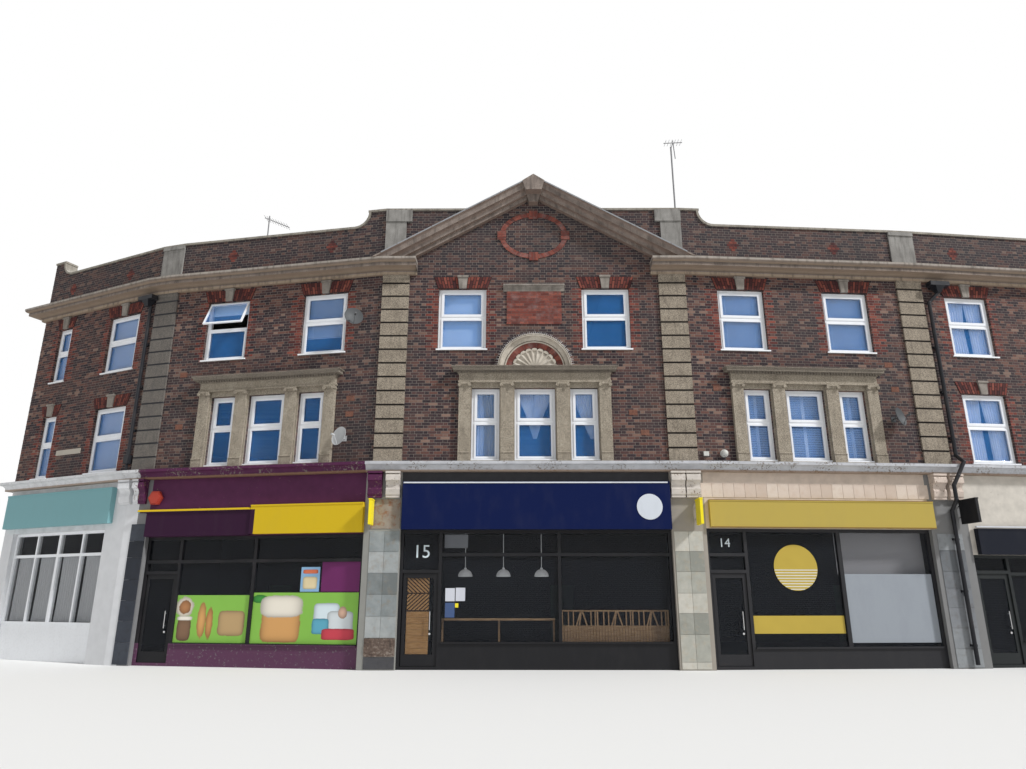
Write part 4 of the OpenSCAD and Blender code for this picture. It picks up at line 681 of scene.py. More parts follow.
class StageSettings(PropertyGroup):
    floor: tint("Floor", "Colour of the floor", (0.80, 0.80, 0.79))
    sky: FloatProperty(name="Fill light", description="Strength of the even light from all round",
                       default=0.5, min=0, max=2)
    sun: FloatProperty(name="Key light", description="Strength of the key light", default=3.1, min=0, max=6)
    lens: FloatProperty(name="Lens", description="Focal length of the camera on a 36 mm sensor",
                        default=25.41, min=10, max=80)


# Brickwork

def free_fields(low_s, high_s, low_z, high_z, holes):
    """The rectangles of a wall that are left between its holes, each (s0, s1, z0, z1)."""
    fields = []
    levels = sorted({low_z, high_z, *(z for h in holes for z in h[2:] if low_z < z < high_z)})
    for z0, z1 in zip(levels, levels[1:]):
        across = sorted((h[0], h[1]) for h in holes if h[2] < z1 and h[3] > z0)
        s = low_s
        for a, b in across:
            if a > s:
                fields.append((s, min(a, high_s), z0, z1))
            s = max(s, b)
        if s < high_s:
            fields.append((s, high_s, z0, z1))
    return fields


def brick_cell(settings):
    """Four bricks of Flemish bond: a stretcher and a header, and the pair over them half a unit back."""
    b, unit, course = settings, brick_unit(settings), settings.brick_h + settings.joint
    half, head = settings.joint / 2, settings.brick_l + settings.joint
    low, high = half, half + b.brick_h
    spans = [(half, half + b.brick_l, 0), (head + half, unit - half, 0),
             (half - unit / 2, half + b.brick_l - unit / 2, course),
             (head + half - unit / 2, unit / 2 - half, course)]
    parts = []
    for i, (x0, x1, z) in enumerate(spans):
        brick = block(f"brick_{i}", (x0, -b.proud, z + low), (x1, 0.002, z + high))
        edit(brick, edges=lambda p, q: p.y < 0 and q.y < 0)
        bpy.ops.mesh.bevel(offset=b.edge, segments=1, affect="EDGES")
        done()
        parts.append(brick)
    return join("brick_cell", parts)


def cut(ob, at, away):
    """Cuts the whole mesh by a plane and closes the bricks there; what lies along away goes."""
    edit(ob)
    bpy.ops.mesh.bisect(plane_co=at, plane_no=away, use_fill=True, clear_outer=True, threshold=0.00001)
    done()


def trim(ob, s0, s1, z0, z1):
    """Cuts the mesh down to the stretch from s0 to s1 and the heights from z0 to z1."""
    for low, high, axis in ((s0, s1, Vector((1, 0, 0))), (z0, z1, Vector((0, 0, 1)))):
        cut(ob, axis * low, -axis)
        cut(ob, axis * high, axis)


def brick_field(cell, settings, s0, s1, z0, z1):
    """Brickwork from s0 to s1 and z0 to z1, with the bond kept in step over the whole front."""
    unit, pair = brick_unit(settings), 2 * (settings.brick_h + settings.joint)
    first = math.floor(s0 / unit) - 1
    low = math.floor((z0 - LEDGE_TOP) / pair)
    ob = copy(cell, "field")
    repeat(ob, math.ceil(s1 / unit) + 1 - first, (unit, 0, 0))
    repeat(ob, math.ceil((z1 - LEDGE_TOP) / pair) - low, (0, 0, pair))
    move(ob, (first * unit, 0, LEDGE_TOP + low * pair))
    trim(ob, s0, s1, z0, z1)
    return ob


def beside_window(settings, k, s, z):
    """True for the bricks that tooth into the walling on both sides of a plain window."""
    unit, course = brick_unit(settings), settings.brick_h + settings.joint
    row = math.floor((z - LEDGE_TOP) / course)
    shift = (row % 2) * unit / 2
    cell = math.floor((s + shift) / unit)
    head_from = settings.brick_l + settings.joint
    header = s + shift - cell * unit > head_from
    middle = cell * unit - shift + ((head_from + unit) / 2 if header else head_from / 2)
    reach = 0.27 if row % 2 else 0.13
    for left, right, foot, top in window_holes(k):
        near = left - reach < middle < left + 0.1 or right - 0.1 < middle < right + reach
        if right - left < 2 and foot < z < top and near:
            return True
    return False


def window_holes(k):
    """The openings in the brickwork of run k as (from, to, foot, head)."""
    holes = []
    for windows, sill, high in ((SECOND_WINDOWS, SECOND_SILL, SECOND_H), (WING_WINDOWS, FIRST_SILL, FIRST_H)):
        holes += [(s - w / 2, s + w / 2, sill, sill + high) for r, s, w in windows if r == k]
    if k in SURROUND_MIDDLE:
        mid = SURROUND_MIDDLE[k]
        holes.append((mid - SURROUND_W / 2, mid + SURROUND_W / 2, LEDGE_TOP, SURROUND_TOP))
    return holes


class BUILDING_OT_bricks(Operator):
    """Lays the bricks of the fronts and parapets in Flemish bond, cut at the windows and corners"""
    bl_idname = "building.bricks"
    bl_label = "Brickwork"

    def execute(self, context):
        settings = context.scene.brick_settings
        cell = brick_cell(settings)
        face = laid_brick("laid_stock_brick", settings)
        walls = {"left_wing": LEFT_WING, "left_bay": LEFT_BAY, "centre": CENTRE, "right_bay": RIGHT_BAY,
                 "right_wing": RIGHT_WING}
        jambs = []
        for name, k in walls.items():
            quoin = QUOIN_W if k == CENTRE else 0.0
            s0, s1 = quoin, RUN_LENGTH[k] - quoin
            top = RAISED_TOP if k == CENTRE else WALL_TOP
            fields = free_fields(s0, s1, LEDGE_TOP, top, window_holes(k))
            parts = [brick_field(cell, settings, *f) for f in fields]
            if k == CENTRE:
                parts.append(self.gable(cell, settings))
            else:
                wide = BAY_SHOULDER if k in (LEFT_BAY, RIGHT_BAY) else WING_SHOULDER
                a = s1 - wide if k in (LEFT_BAY, RIGHT_WING) else 0.0
                parts.append(brick_field(cell, settings, a, a + wide, WALL_TOP, RAISED_TOP))
            wall = join("brickwork_" + name, parts)
            edit(wall, faces=lambda f: beside_window(settings, k, f.center.x, f.center.z))
            bpy.ops.mesh.separate(type="SELECTED")
            done()
            jambs += [to_run(ob, k) for ob in context.selected_objects if ob != wall]
            keep(to_run(wall, k), face)
        keep(toned(join("red_jamb_bricks", jambs)), red_rubbed("jamb_brick"))
        remove(cell)
        return {"FINISHED"}

    def gable(self, cell, settings):
        """The peak over the shoulders, cut to the slopes of the cornice."""
        mid, half, rise = RUN_LENGTH[CENTRE] / 2, 1.396, 0.5658
        peak = brick_field(cell, settings, mid - half, mid + half, RAISED_TOP, APEX - 0.1)
        for side in (-1, 1):
            cut(peak, (mid, 0, APEX - 0.08), (side * rise, 0, 1))
        return peak


# Finishes of the carried-over parts

def wall_of(name, corner, turn, settings, side=1.0):
    """Brickwork for a straight wall from a corner; side is the sign of the way into it."""
    return brick_wall(name, lambda f: f.mapped((*corner, 0), turn), lambda f, p: f.part(p, 1) * side,
                      settings)


def node_finishes(settings):
    """The material of each CAD node that stays in view."""
    front = brick_wall("stock_brick_front", along_front, lambda f, p: f.part(p, 1), settings)
    rear = wall_of("stock_brick_rear", (0, REAR_Y), math.pi, settings)
    left = wall_of("stock_brick_left_end", CORNERS[0], math.radians(65.5), settings, -1.0)
    right = wall_of("stock_brick_right_end", CORNERS[7], math.radians(97.0), settings)
    dark_joint = stone("sooty_arch_mortar", (0.018, 0.012, 0.011), (0.030, 0.020, 0.018), (0.05, 0.035, 0.03),
                       streak=0.2)
    # The main cornice's courses, from the foot: a tan band, the moulding's pale ochre lightened as painted
    # sunlight; a near-black painted shadow line; a dark grey band of soot; a pale band along the top edge
    level = stone("weathered_cornice_stone_painted_shade_and_light", (0.12, 0.095, 0.082), (0.245, 0.20, 0.172), (0.38, 0.32, 0.275),
                  top=(0.46, 0.44, 0.41), under=(0.30, 0.225, 0.165), streak=0.6,
                  courses=((10.04, 10.125, (0.44, 0.345, 0.245), 0.6),
                           (10.145, 10.20, (0.05, 0.044, 0.04), 0.7),
                           (10.26, 10.36, (0.12, 0.105, 0.095), 0.5),
                           (10.375, 10.43, (0.42, 0.39, 0.35), 0.6)))
    weathered = stone("weathered_pediment_stone", (0.11, 0.09, 0.08), (0.225, 0.185, 0.162),
                      (0.36, 0.305, 0.265), top=(0.42, 0.40, 0.37), under=(0.22, 0.155, 0.125), streak=0.6)
    surround = pebbled("buff_surround_stone", (0.22, 0.188, 0.148), (0.38, 0.33, 0.26), (0.54, 0.48, 0.39),
                       streak=0.25, sooty_from=7.19)
    # The quoins get painted shade in their channels and, left of x = -9.9, over their whole face
    quoin = pebbled("grey_quoin_stone", (0.19, 0.16, 0.125), (0.335, 0.285, 0.225), (0.47, 0.41, 0.325),
                    size=0.014, channels=True, shaded_left_of=-9.9)
    # The shell's dark hoops are painted shade of its moulded rings, with some soot
    shell = stone("pale_lunette_stone", (0.34, 0.30, 0.25), (0.52, 0.47, 0.40), (0.70, 0.65, 0.57),
                  top=(0.70, 0.69, 0.66), streak=0.25, hoops=((0.935, 0.955), (0.795, 0.82), (0.60, 0.625)))
    key = stone("grey_keystone", (0.16, 0.143, 0.125), (0.26, 0.234, 0.207), (0.38, 0.35, 0.315))
    coping = stone("grey_coping_stone", (0.18, 0.165, 0.14), (0.30, 0.275, 0.235), (0.42, 0.39, 0.34),
                   top=(0.50, 0.48, 0.44))
    pier = stone("grey_parapet_render", (0.16, 0.155, 0.145), (0.26, 0.25, 0.235), (0.37, 0.36, 0.34),
                 grain=0.006)
    plum, white, cream = (0.085, 0.018, 0.062), (0.72, 0.73, 0.75), (0.62, 0.52, 0.44)
    black, gold = (0.013, 0.013, 0.015), (0.66, 0.46, 0.02)
    ledge = chipped("chipped_ledge_paint", [(-16, white), (-10.62, plum), (-4.35, (0.52, 0.53, 0.56))],
                    (0.26, 0.225, 0.20), 0.56, foot=(4.70, (0.26, 0.16, 0.085)))
    beams = chipped("shop_band_paint", [(-16, white), (-10.62, plum), (-4.1, (0.05, 0.05, 0.055)),
                                        (4.0, cream), (10.3, (0.60, 0.56, 0.50))],
                    (0.30, 0.22, 0.17), 0.68)
    piers = chipped("shop_pier_paint",
                    [(-16, white), (-10.62, (0.20, 0.20, 0.205)), (-7.0, (0.30, 0.30, 0.28)),
                                        (0.0, (0.33, 0.30, 0.26)), (7.0, (0.20, 0.20, 0.20))],
                    (0.22, 0.17, 0.13), 0.72, shade=0.08)
    scroll = chipped("console_paint", [(-16, white), (-10.545, plum), (-3.82, (0.62, 0.57, 0.52)),
                                       (7.0, (0.62, 0.52, 0.45))],
                     (0.26, 0.17, 0.12), 0.60)
    frames = painted("white_window_frame", (0.88, 0.90, 0.93), 0.25, 0.15, (0.55, 0.55, 0.55),
                     Coat_Weight=0.3)
    ebony = painted("black_shop_frame", black, 0.32, 0.12, (0.06, 0.057, 0.055))
    riser = painted("plum_riser_frame", black, 0.4, 0.2, (0.10, 0.085, 0.09),
                    low=(0.53, (0.105, 0.040, 0.085)))
    grey = painted("grey_shop_frame", (0.024, 0.024, 0.027), 0.35, 0.12, (0.08, 0.075, 0.07))
    dark = painted("dark_shop_frame", (0.020, 0.023, 0.024), 0.35, 0.12, (0.08, 0.075, 0.07))
    name_board = painted("name_board_paint", [(-16, (0.21, 0.41, 0.44)), (-10.4, (0.034, 0.011, 0.032)),
                                              (-7.18, gold), (-3.9, (0.004, 0.010, 0.058)),
                                              (3.95, (0.45, 0.345, 0.085)), (10.4, (0.014, 0.016, 0.024))],
                         0.35, 0.05, (0.16, 0.15, 0.14), high=(3.786, -10.95, -7.1, gold),
                         Specular_IOR_Level=0.08)
    signs = painted("hanging_sign_paint", [(-16, (0.90, 0.74, 0.02)), (10.4, (0.015, 0.015, 0.018))],
                    0.35, 0.12)
    fitting = painted("fitting_paint", [(-16, (0.44, 0.40, 0.34)), (-10.8, (0.42, 0.05, 0.03)),
                                        (0.0, (0.60, 0.60, 0.57))], 0.4, 0.2)
    pipes = painted("black_pipe_paint", (0.016, 0.017, 0.021), 0.3, 0.35, (0.10, 0.09, 0.085))
    dish = painted("faded_dish_paint", [(-16, (0.50, 0.51, 0.52)), (0.0, (0.07, 0.075, 0.08))], 0.5, 0.3,
                   high=(7.5, -16, 0, (0.09, 0.095, 0.10)))
    # painted light: the enamel shades glow faintly so that they read bright in the dark rooms
    enamel = painted("white_lamp_enamel_painted_glow", (0.74, 0.78, 0.82), 0.25, 0.08, Emission_Strength=0.16)
    screed = stone("worn_screed", (0.14, 0.135, 0.13), (0.22, 0.215, 0.205), (0.30, 0.29, 0.28), streak=0.0)
    groups = (
        (front, "wing_wall_left bay_wall_left centre_wall bay_wall_right wing_wall_right"),
        (front, "parapet_left parapet_right parapet_ramps"),
        (rear, "rear_wall"), (left, "end_wall_left"), (right, "end_wall_right"),
        (red_brick("red_rubber_brick"), "brick_ornaments"), (dark_joint, "gauged_arches"),
        (level, "main_cornice"), (weathered, "pediment_cornice"), (surround, "window_surrounds"),
        (quoin, "quoins"), (shell, "lunette"), (key, "keystones"), (coping, "parapet_copings"),
        (pier, "parapet_piers"), (ledge, "shop_ledge"), (beams, "shop_beams"), (piers, "shop_piers"),
        (scroll, "consoles"),
        (frames, "first_floor_windows second_floor_windows shopfront_1"), (riser, "shopfront_2"),
        (ebony, "door_2 shopfront_3 door_3"), (grey, "shopfront_4 door_4"), (dark, "shopfront_5 door_5"),
        # painted reflection: the strong blue of the upper windows' glass stands for the sky reflected in it
        (glazing("window_glass", (0.05, 0.31, 0.86), 0.21), "first_floor_glass second_floor_glass"),
        (glazing("shop_glass", (0.030, 0.035, 0.045), 0.20, 0.35),
         "shop_glass door_glass_2 door_glass_3 door_glass_4 door_glass_5"),
        (name_board, "shop_fascias"), (signs, "hanging_signs"), (fitting, "wall_fittings"),
        (pipes, "rain_pipes"), (dish, "satellite_dishes"), (enamel, "pendant_lamps"),
        (painted("dull_aerial_metal", (0.24, 0.24, 0.25), 0.5, 0.3), "roof_aerials"),
        (timber("oiled_bench_timber", (0.24, 0.15, 0.08), (0.48, 0.32, 0.18), (14, 1, 1)), "window_bench"),
        (timber("rear_door_timber", (0.07, 0.09, 0.07), (0.12, 0.15, 0.12), (1, 1, 14)), "rear_doors"),
        # painted shade: the undersides of the boards over the shops are near-black
        (screed, "ground_floor"), (boards("floor_boards_over_shops", under=PAINTED_SHOP_SHADE), "first_floor"),
        (boards("floor_boards"), "second_floor"), (roofing("mineral_felt"), "roof_deck"),
    )
    return {node: finish for finish, nodes in groups for node in nodes.split()}


class BUILDING_OT_finishes(Operator):
    """Gives every carried-over part its own finish"""
    bl_idname = "building.finishes"
    bl_label = "Finishes"

    def execute(self, context):
        finishes = node_finishes(context.scene.brick_settings)
        missing = sorted(set(frame["nodes"]) - set(finishes))
        if missing:
            raise RuntimeError(f"no finish for {missing}")
        for name, material in finishes.items():
            slots = bpy.data.objects[name].material_slots
            if not slots:
                raise RuntimeError(f"{name} has no material slot")
            for slot in slots:
                slot.material = material
        return {"FINISHED"}


# Windows

FRAME_W, RAIL_W, TOP_SHARE = 0.07, 0.06, 0.46
REAR_SHIFT = 1.25727
REAR_X = [(-4.5 + i) * 2.7 for i in range(10)]
BLIND_Y = 0.20


def lights_of(h):
    """The low and the top light of a window h high, each as (foot, height)."""
    room = h - 2 * FRAME_W - RAIL_W
    low = room * (1 - TOP_SHARE)
    return (FRAME_W, low), (FRAME_W + low + RAIL_W, room * TOP_SHARE)


def ring(name, w, h, bar, y, depth, worn=0.004):
    """A frame w wide and h high with bars of one width, standing on z = 0 from x = 0."""
    ob = block(name, (0, y, 0), (w, y + depth, h))
    edit(ob, faces=lambda f: abs(f.normal.y) > 0.9)
    bpy.ops.mesh.inset(thickness=bar)
    bpy.ops.mesh.bridge_edge_loops()
    done()
    if worn:
        soften(ob, worn, 2)
    return ob


def front_windows(storey):
    """Each upper window of a storey as (run, left edge along it, width, sill, height)."""
    if storey == 1:
        return [(k, s - w / 2, w, FIRST_SILL, FIRST_H) for k, s, w in WING_WINDOWS + LIGHTS]
    return [(k, s - w / 2, w, SECOND_SILL, SECOND_H) for k, s, w in SECOND_WINDOWS]


def hung_open(k, s, sill):
    """True for the one window whose top light stands open, which is a CAD part."""
    return k == LEFT_BAY and s < 2 and sill > 7


def window_near(storey, k, s):
    """The upper window of a storey on run k whose left edge is nearest s."""
    return min((v for v in front_windows(storey) if v[0] == k), key=lambda v: abs(v[1] - s))


class BUILDING_OT_sashes(Operator):
    """Makes the sashes and their dark seals in every upper window, front and rear"""
    bl_idname = "building.sashes"
    bl_label = "Window sashes"

    def execute(self, context):
        white = painted("white_sash", (0.82, 0.84, 0.88), 0.25, 0.12, (0.50, 0.50, 0.50), Coat_Weight=0.3)
        seal = painted("dark_seal", (0.02, 0.02, 0.022), 0.6, 0.2)
        for storey, h in ((1, FIRST_H), (2, SECOND_H)):
            models, sashes, seals = {}, [], []
            rear = [(None, x, WIDE, front_windows(storey)[0][3], h) for x in REAR_X]
            for k, s, w, sill, high in front_windows(storey) + rear:
                for top, (foot, tall) in enumerate(lights_of(high)):
                    if top and k is not None and hung_open(k, s, sill):
                        continue
                    if (w, top) not in models:
                        bar = 0.072 if top else 0.05
                        room = w - 2 * FRAME_W
                        sash = ring("sash", room, tall, bar, 0.070, 0.048)
                        edge = ring("seal", room - 2 * bar + 0.014, tall - 2 * bar + 0.014, 0.007, 0.108,
                                    0.011, 0)
                        move(edge, (bar - 0.007, 0, bar - 0.007))
                        models[w, top] = (sash, edge)
                    for model, group in zip(models[w, top], (sashes, seals)):
                        piece = copy(model, "light", (FRAME_W, 0, foot))
                        if k is None:
                            move(piece, (s + REAR_SHIFT + w / 2, REAR_Y, sill), math.pi)
                        else:
                            to_run(piece, k, s, sill)
                        group.append(piece)
            name = ("first", "second")[storey - 1]
            keep(join(f"{name}_floor_sashes", sashes), white)
            keep(join(f"{name}_floor_seals", seals), seal)
            remove(*[p for pair in models.values() for p in pair])
        return {"FINISHED"}


def tilted(ob, degrees, centre):
    """Turns the whole mesh about the x axis through a point."""
    edit(ob)
    bpy.ops.transform.rotate(value=math.radians(degrees), orient_axis="X", orient_type="GLOBAL",
                             center_override=centre)
    done()
    return ob


def venetian(w, top, low, tilt, pitch=0.034):
    """A blind of thin tilted slats under a head rail, with two ladder tapes."""
    slat = block("slat", (0.03, BLIND_Y - 0.016, -0.0008), (w - 0.03, BLIND_Y + 0.016, 0.0008))
    tilted(slat, tilt, (0, BLIND_Y, 0))
    count = int((top - low - 0.05) / pitch)
    repeat(slat, count, (0, 0, -pitch))
    move(slat, (0, 0, top - 0.05))
    last = top - 0.05 - count * pitch
    rail = block("rail", (0.02, BLIND_Y - 0.02, top - 0.035), (w - 0.02, BLIND_Y + 0.02, top))
    foot = block("foot", (0.03, BLIND_Y - 0.014, last - 0.012), (w - 0.03, BLIND_Y + 0.014, last))
    parts = [slat, rail, foot]
    for x in (w * 0.2, w * 0.8):
        parts.append(block("tape", (x - 0.004, BLIND_Y - 0.019, last),
                           (x + 0.004, BLIND_Y - 0.018, top - 0.03)))
    return join("blind", parts)


def shutter(w, h):
    """A pair of hinged panels with broad louvres and a middle rail, behind a window."""
    parts = []
    for i in (0, 1):
        leaf = w / 2 - 0.012
        x = 0.01 + i * (leaf + 0.004)
        for foot, tall in ((0.02, h * 0.52 - 0.02), (h * 0.52, h * 0.48 - 0.02)):
            frame = ring("leaf", leaf, tall, 0.038, BLIND_Y - 0.014, 0.028, 0.002)
            move(frame, (x, 0, foot))
            slat = block("louvre", (x + 0.038, BLIND_Y - 0.03, -0.004),
                         (x + leaf - 0.038, BLIND_Y + 0.03, 0.004))
            tilted(slat, 38, (0, BLIND_Y, 0))
            repeat(slat, int((tall - 0.12) / 0.062) + 1, (0, 0, 0.062))
            move(slat, (0, 0, foot + 0.065))
            parts += [frame, slat]
    return join("shutter", parts)


# Slatted blinds as (storey, run, left edge, top of drop, foot of drop, tilt); the drop is in shares of
# the window's height
BLINDS = ((2, LEFT_WING, 3.10, 0.97, 0.05, 55), (2, LEFT_WING, 0.77, 0.97, 0.05, 55),
          (1, LEFT_WING, 3.10, 0.97, 0.05, 62), (1, LEFT_WING, 0.77, 0.97, 0.05, 62),
          (2, LEFT_BAY, 3.92, 0.97, 0.30, 30), (2, RIGHT_BAY, 0.875, 0.97, 0.06, 40),
          (2, RIGHT_BAY, 3.795, 0.97, 0.06, 40))
# Roller blinds on the second floor as (run, left edge of the window, foot of drop, gap beside the cloth)
ROLLERS = ((CENTRE, 1.53, 0.05, 0.05), (LEFT_BAY, 1.0, SECOND_H * 0.80, 0.06))


class BUILDING_OT_blinds(Operator):
    """Hangs the slatted blinds, the louvred shutters and the roller blinds behind the windows"""
    bl_idname = "building.blinds"
    bl_label = "Blinds and shutters"

    def execute(self, context):
        slats = painted("white_slats", (0.66, 0.70, 0.76), 0.45, 0.1)
        parts = []
        for storey, k, s, top, low, tilt in BLINDS:
            _, left, w, sill, h = window_near(storey, k, s)
            parts.append(to_run(venetian(w, h * top, h * low, tilt), k, left, sill))
        keep(join("slatted_blinds", parts), slats)
        parts = [to_run(shutter(w, h), k, left, sill)
                 for k, left, w, sill, h in front_windows(1) if k == RIGHT_BAY]
        keep(join("louvred_shutters", parts), slats)
        parts = [to_run(self.roller(foot, gap), k, left, SECOND_SILL) for k, left, foot, gap in ROLLERS]
        pale = painted("pale_roller_cloth", (0.56, 0.68, 0.80), 0.7, 0.1)
        keep(join("roller_blinds", parts), pale)
        return {"FINISHED"}

    def roller(self, foot, gap):
        """A flat cloth that drops from a barrel at the window's head."""
        head = SECOND_H * 0.97
        sheet = block("roller", (gap, BLIND_Y, foot), (WIDE - gap, BLIND_Y + 0.002, head))
        edit(sheet)
        bpy.ops.mesh.subdivide(number_cuts=6)
        done()
        barrel = drum("barrel", (WIDE / 2, BLIND_Y + 0.02, head), 0.02, WIDE - 0.08, 16,
                      (0, math.pi / 2, 0))
        return join("roller", [sheet, barrel])


def curtain(name, w, h, folds, gather, tie, depth=0.022):
    """A hung sheet with folds, and its area.

    gather is how wide it stays at the (top, middle, foot) as shares of w, and tie the share of the
    width that it is drawn to."""
    fresh()
    bpy.ops.mesh.primitive_grid_add(x_subdivisions=folds * 8, y_subdivisions=28, size=1, location=(0, 0, 0))
    ob = bpy.context.object
    ob.name = ob.data.name = name
    top, middle, foot = gather
    for v in ob.data.vertices:
        u, t = v.co.x + 0.5, v.co.y + 0.5
        width = w * (middle + (top - middle) * max(0, 2 * t - 1) + (foot - middle) * max(0, 1 - 2 * t))
        swing = math.sin(u * folds * 2 * math.pi + 0.6 * math.sin(3 * t))
        into = depth * swing * (0.75 + 0.25 * math.cos(5 * u + 2 * t))
        v.co = (tie * (w - width) + u * width, BLIND_Y + into, t * h)
    area = sum(p.area for p in ob.data.polygons)
    edit(ob)
    bpy.ops.mesh.normals_make_consistent(inside=False)
    done()
    mod = ob.modifiers.new("Cloth", "SOLIDIFY")
    mod.thickness, mod.offset = 0.0012, 0
    apply_all(ob)
    smooth(ob, 60)
    return ob, area


# Curtains as (name, storey, run, left edge, width share, height share, left share, folds, gather, tie)
CURTAINS = (
    ("net_centre_left", 1, CENTRE, 2.46, 0.96, 0.94, 0.02, 9, (1.0, 1.0, 1.0), 0.5),
    ("drape_centre_left", 1, CENTRE, 2.46, 0.62, 0.94, 0.30, 7, (0.85, 0.62, 0.72), 0.7),
    ("drape_centre_mid_a", 1, CENTRE, 3.57, 0.48, 0.66, 0.02, 9, (1.0, 0.46, 0.09), 1.0),
    ("drape_centre_mid_b", 1, CENTRE, 3.57, 0.48, 0.66, 0.50, 9, (1.0, 0.46, 0.09), 0.0),
    ("drape_centre_right", 1, CENTRE, 5.01, 0.92, 0.66, 0.04, 10, (1.0, 0.60, 0.14), 0.85),
    ("drape_wing_low_a", 1, RIGHT_WING, 0.67, 0.46, 0.95, 0.04, 8, (1.0, 0.9, 0.9), 0.0),
    ("drape_wing_low_b", 1, RIGHT_WING, 0.67, 0.46, 0.95, 0.52, 8, (1.0, 0.85, 0.85), 1.0),
    ("drape_wing_top_a", 2, RIGHT_WING, 0.67, 0.50, 0.95, 0.04, 8, (1.0, 0.85, 0.9), 0.0),
    ("drape_wing_top_b", 2, RIGHT_WING, 0.67, 0.44, 0.95, 0.54, 7, (1.0, 0.9, 0.9), 1.0),
    ("net_wing_narrow_low", 1, RIGHT_WING, 3.66, 0.92, 0.95, 0.04, 7, (1.0, 1.0, 1.0), 0.5),
    ("net_wing_narrow_top", 2, RIGHT_WING, 3.66, 0.92, 0.95, 0.04, 7, (1.0, 1.0, 1.0), 0.5),
)
SHOP_NET_H = 1.78


def cloth(name, colour, weave=0.0012):
    """Thin woven curtain cloth."""
    f = Finish(name, 0.85, Sheen_Weight=0.25)
    threads = f.math("MAXIMUM", f.math("PINGPONG", f.along("x"), weave),
                     f.math("PINGPONG", f.along("z"), weave))
    f.colour(f.blend(f.noise(0.15, 4), colour, tuple(c * 0.86 for c in colour)))
    f.bump(threads / weave, 0.0003)
    return f.mat


class BUILDING_OT_curtains(Operator):
    """Hangs the curtains behind the upper windows and the left shop's glass"""
    bl_idname = "building.curtains"
    bl_label = "Curtains"

    def execute(self, context):
        white = cloth("white_curtain_cloth", (0.82, 0.84, 0.87))
        cream = cloth("cream_curtain_cloth", (0.58, 0.54, 0.42))
        for name, storey, k, s, wide, high, at, folds, gather, tie in CURTAINS:
            _, left, w, sill, h = window_near(storey, k, s)
            ob, area = curtain(name, w * wide, h * high, folds, gather, tie)
            back = 0.03 if name.startswith("net") else 0.0
            move(ob, (w * at, back, h * (0.975 - high)))
            to_run(ob, k, left, sill)
            keep(ob, cream if name == "drape_centre_left" else white)
        for i in range(4):
            ob, area = curtain(f"shop_net_{i + 1}", 0.84, SHOP_NET_H, 9, (1.0, 1.0, 1.0), 0.5)
            move(ob, (0, 0.06, 0))
            to_run(ob, LEFT_WING, 0.51 + i * 0.96, 1.0)
            keep(ob, white)
        return {"FINISHED"}


# Brick and stone details

class BUILDING_OT_arches(Operator):
    """Cuts the splayed red bricks of the flat arches, each course broken in turn"""
    bl_idname = "building.arches"
    bl_label = "Gauged arches"

    def execute(self, context):
        rubbed = red_rubbed("rubbed_red_brick")
        models = {w: self.half_arch(w) for w in (WIDE, NARROW)}
        parts = []
        windows = [(k, s, w, SECOND_SILL + SECOND_H) for k, s, w in SECOND_WINDOWS]
        windows += [(k, s, w, FIRST_SILL + FIRST_H) for k, s, w in WING_WINDOWS]
        for k, s, w, head in windows:
            parts += [to_run(copy(model, "arch"), k, s, head) for model in models[w]]
        keep(toned(join("arch_bricks", parts)), rubbed)
        remove(*[p for pair in models.values() for p in pair])
        return {"FINISHED"}

    def half_arch(self, w):
        """The bricks right of the keystone and their mirror, about the middle of the window's head."""
        key_foot, key_top, high = 0.0992, 0.1386, 0.343
        end_foot, end_top = w / 2 + 0.028, w / 2 + 0.147
        count = max(2, round((end_foot - key_foot) / 0.069))
        fresh()
        bpy.ops.mesh.primitive_grid_add(x_subdivisions=count, y_subdivisions=3, size=1,
                                        rotation=(math.pi / 2, 0, 0))
        ob = bpy.context.object
        bpy.ops.object.transform_apply(location=True, rotation=True, scale=True)
        for v in ob.data.vertices:
            u, t = v.co.x + 0.5, v.co.z + 0.5
            low, top = key_foot + u * (end_foot - key_foot), key_top + u * (end_top - key_top)
            v.co = (low + t * (top - low), -0.0125, 0.001 + t * high)
        third = high / 3

        def level_edge(p, q, row, odd):
            if abs(p.z - q.z) > 0.001 or abs(p.z - 0.001 - row * third) > 0.004:
                return False
            mid, t = (p.x + q.x) / 2, (p.z - 0.001) / high
            left = t * key_top + (1 - t) * key_foot
            right = t * end_top + (1 - t) * end_foot
            return int((mid - left) / (right - left) * count) % 2 == odd

        edit(ob, edges=lambda p, q: level_edge(p, q, 1, 1) or level_edge(p, q, 2, 0))
        bpy.ops.mesh.dissolve_edges(use_verts=False, use_face_split=False)
        done()
        edit(ob)
        bpy.ops.mesh.inset(thickness=0.0085, use_individual=True)
        bpy.ops.mesh.select_all(action="INVERT")
        bpy.ops.mesh.delete(type="FACE")
        bpy.ops.mesh.select_all(action="SELECT")
        bpy.ops.mesh.extrude_region_move(TRANSFORM_OT_translate={"value": (0, -0.005, 0)})
        done()
        edit(ob)
        bpy.ops.mesh.normals_make_consistent(inside=False)
        done()
        soften(ob, 0.0015)
        other = copy(ob, "arch_left")
        edit(other)
        bpy.ops.transform.resize(value=(-1, 1, 1), center_override=(0, 0, 0))
        bpy.ops.mesh.normals_make_consistent(inside=False)
        done()
        return ob, other


def toned(ob):
    """Stores a tone from 0 to 1 for each loose brick of the mesh, which its finish reads."""
    chief = list(range(len(ob.data.vertices)))

    def find(v):
        while chief[v] != v:
            chief[v] = chief[chief[v]]
            v = chief[v]
        return v

    for edge in ob.data.edges:
        a, b = (find(v) for v in edge.vertices)
        chief[a] = b
    tone = ob.data.attributes.new("tone", "FLOAT", "FACE")
    for f in ob.data.polygons:
        tone.data[f.index].value = (find(f.vertices[0]) * 0.6180339) % 1.0
    return ob


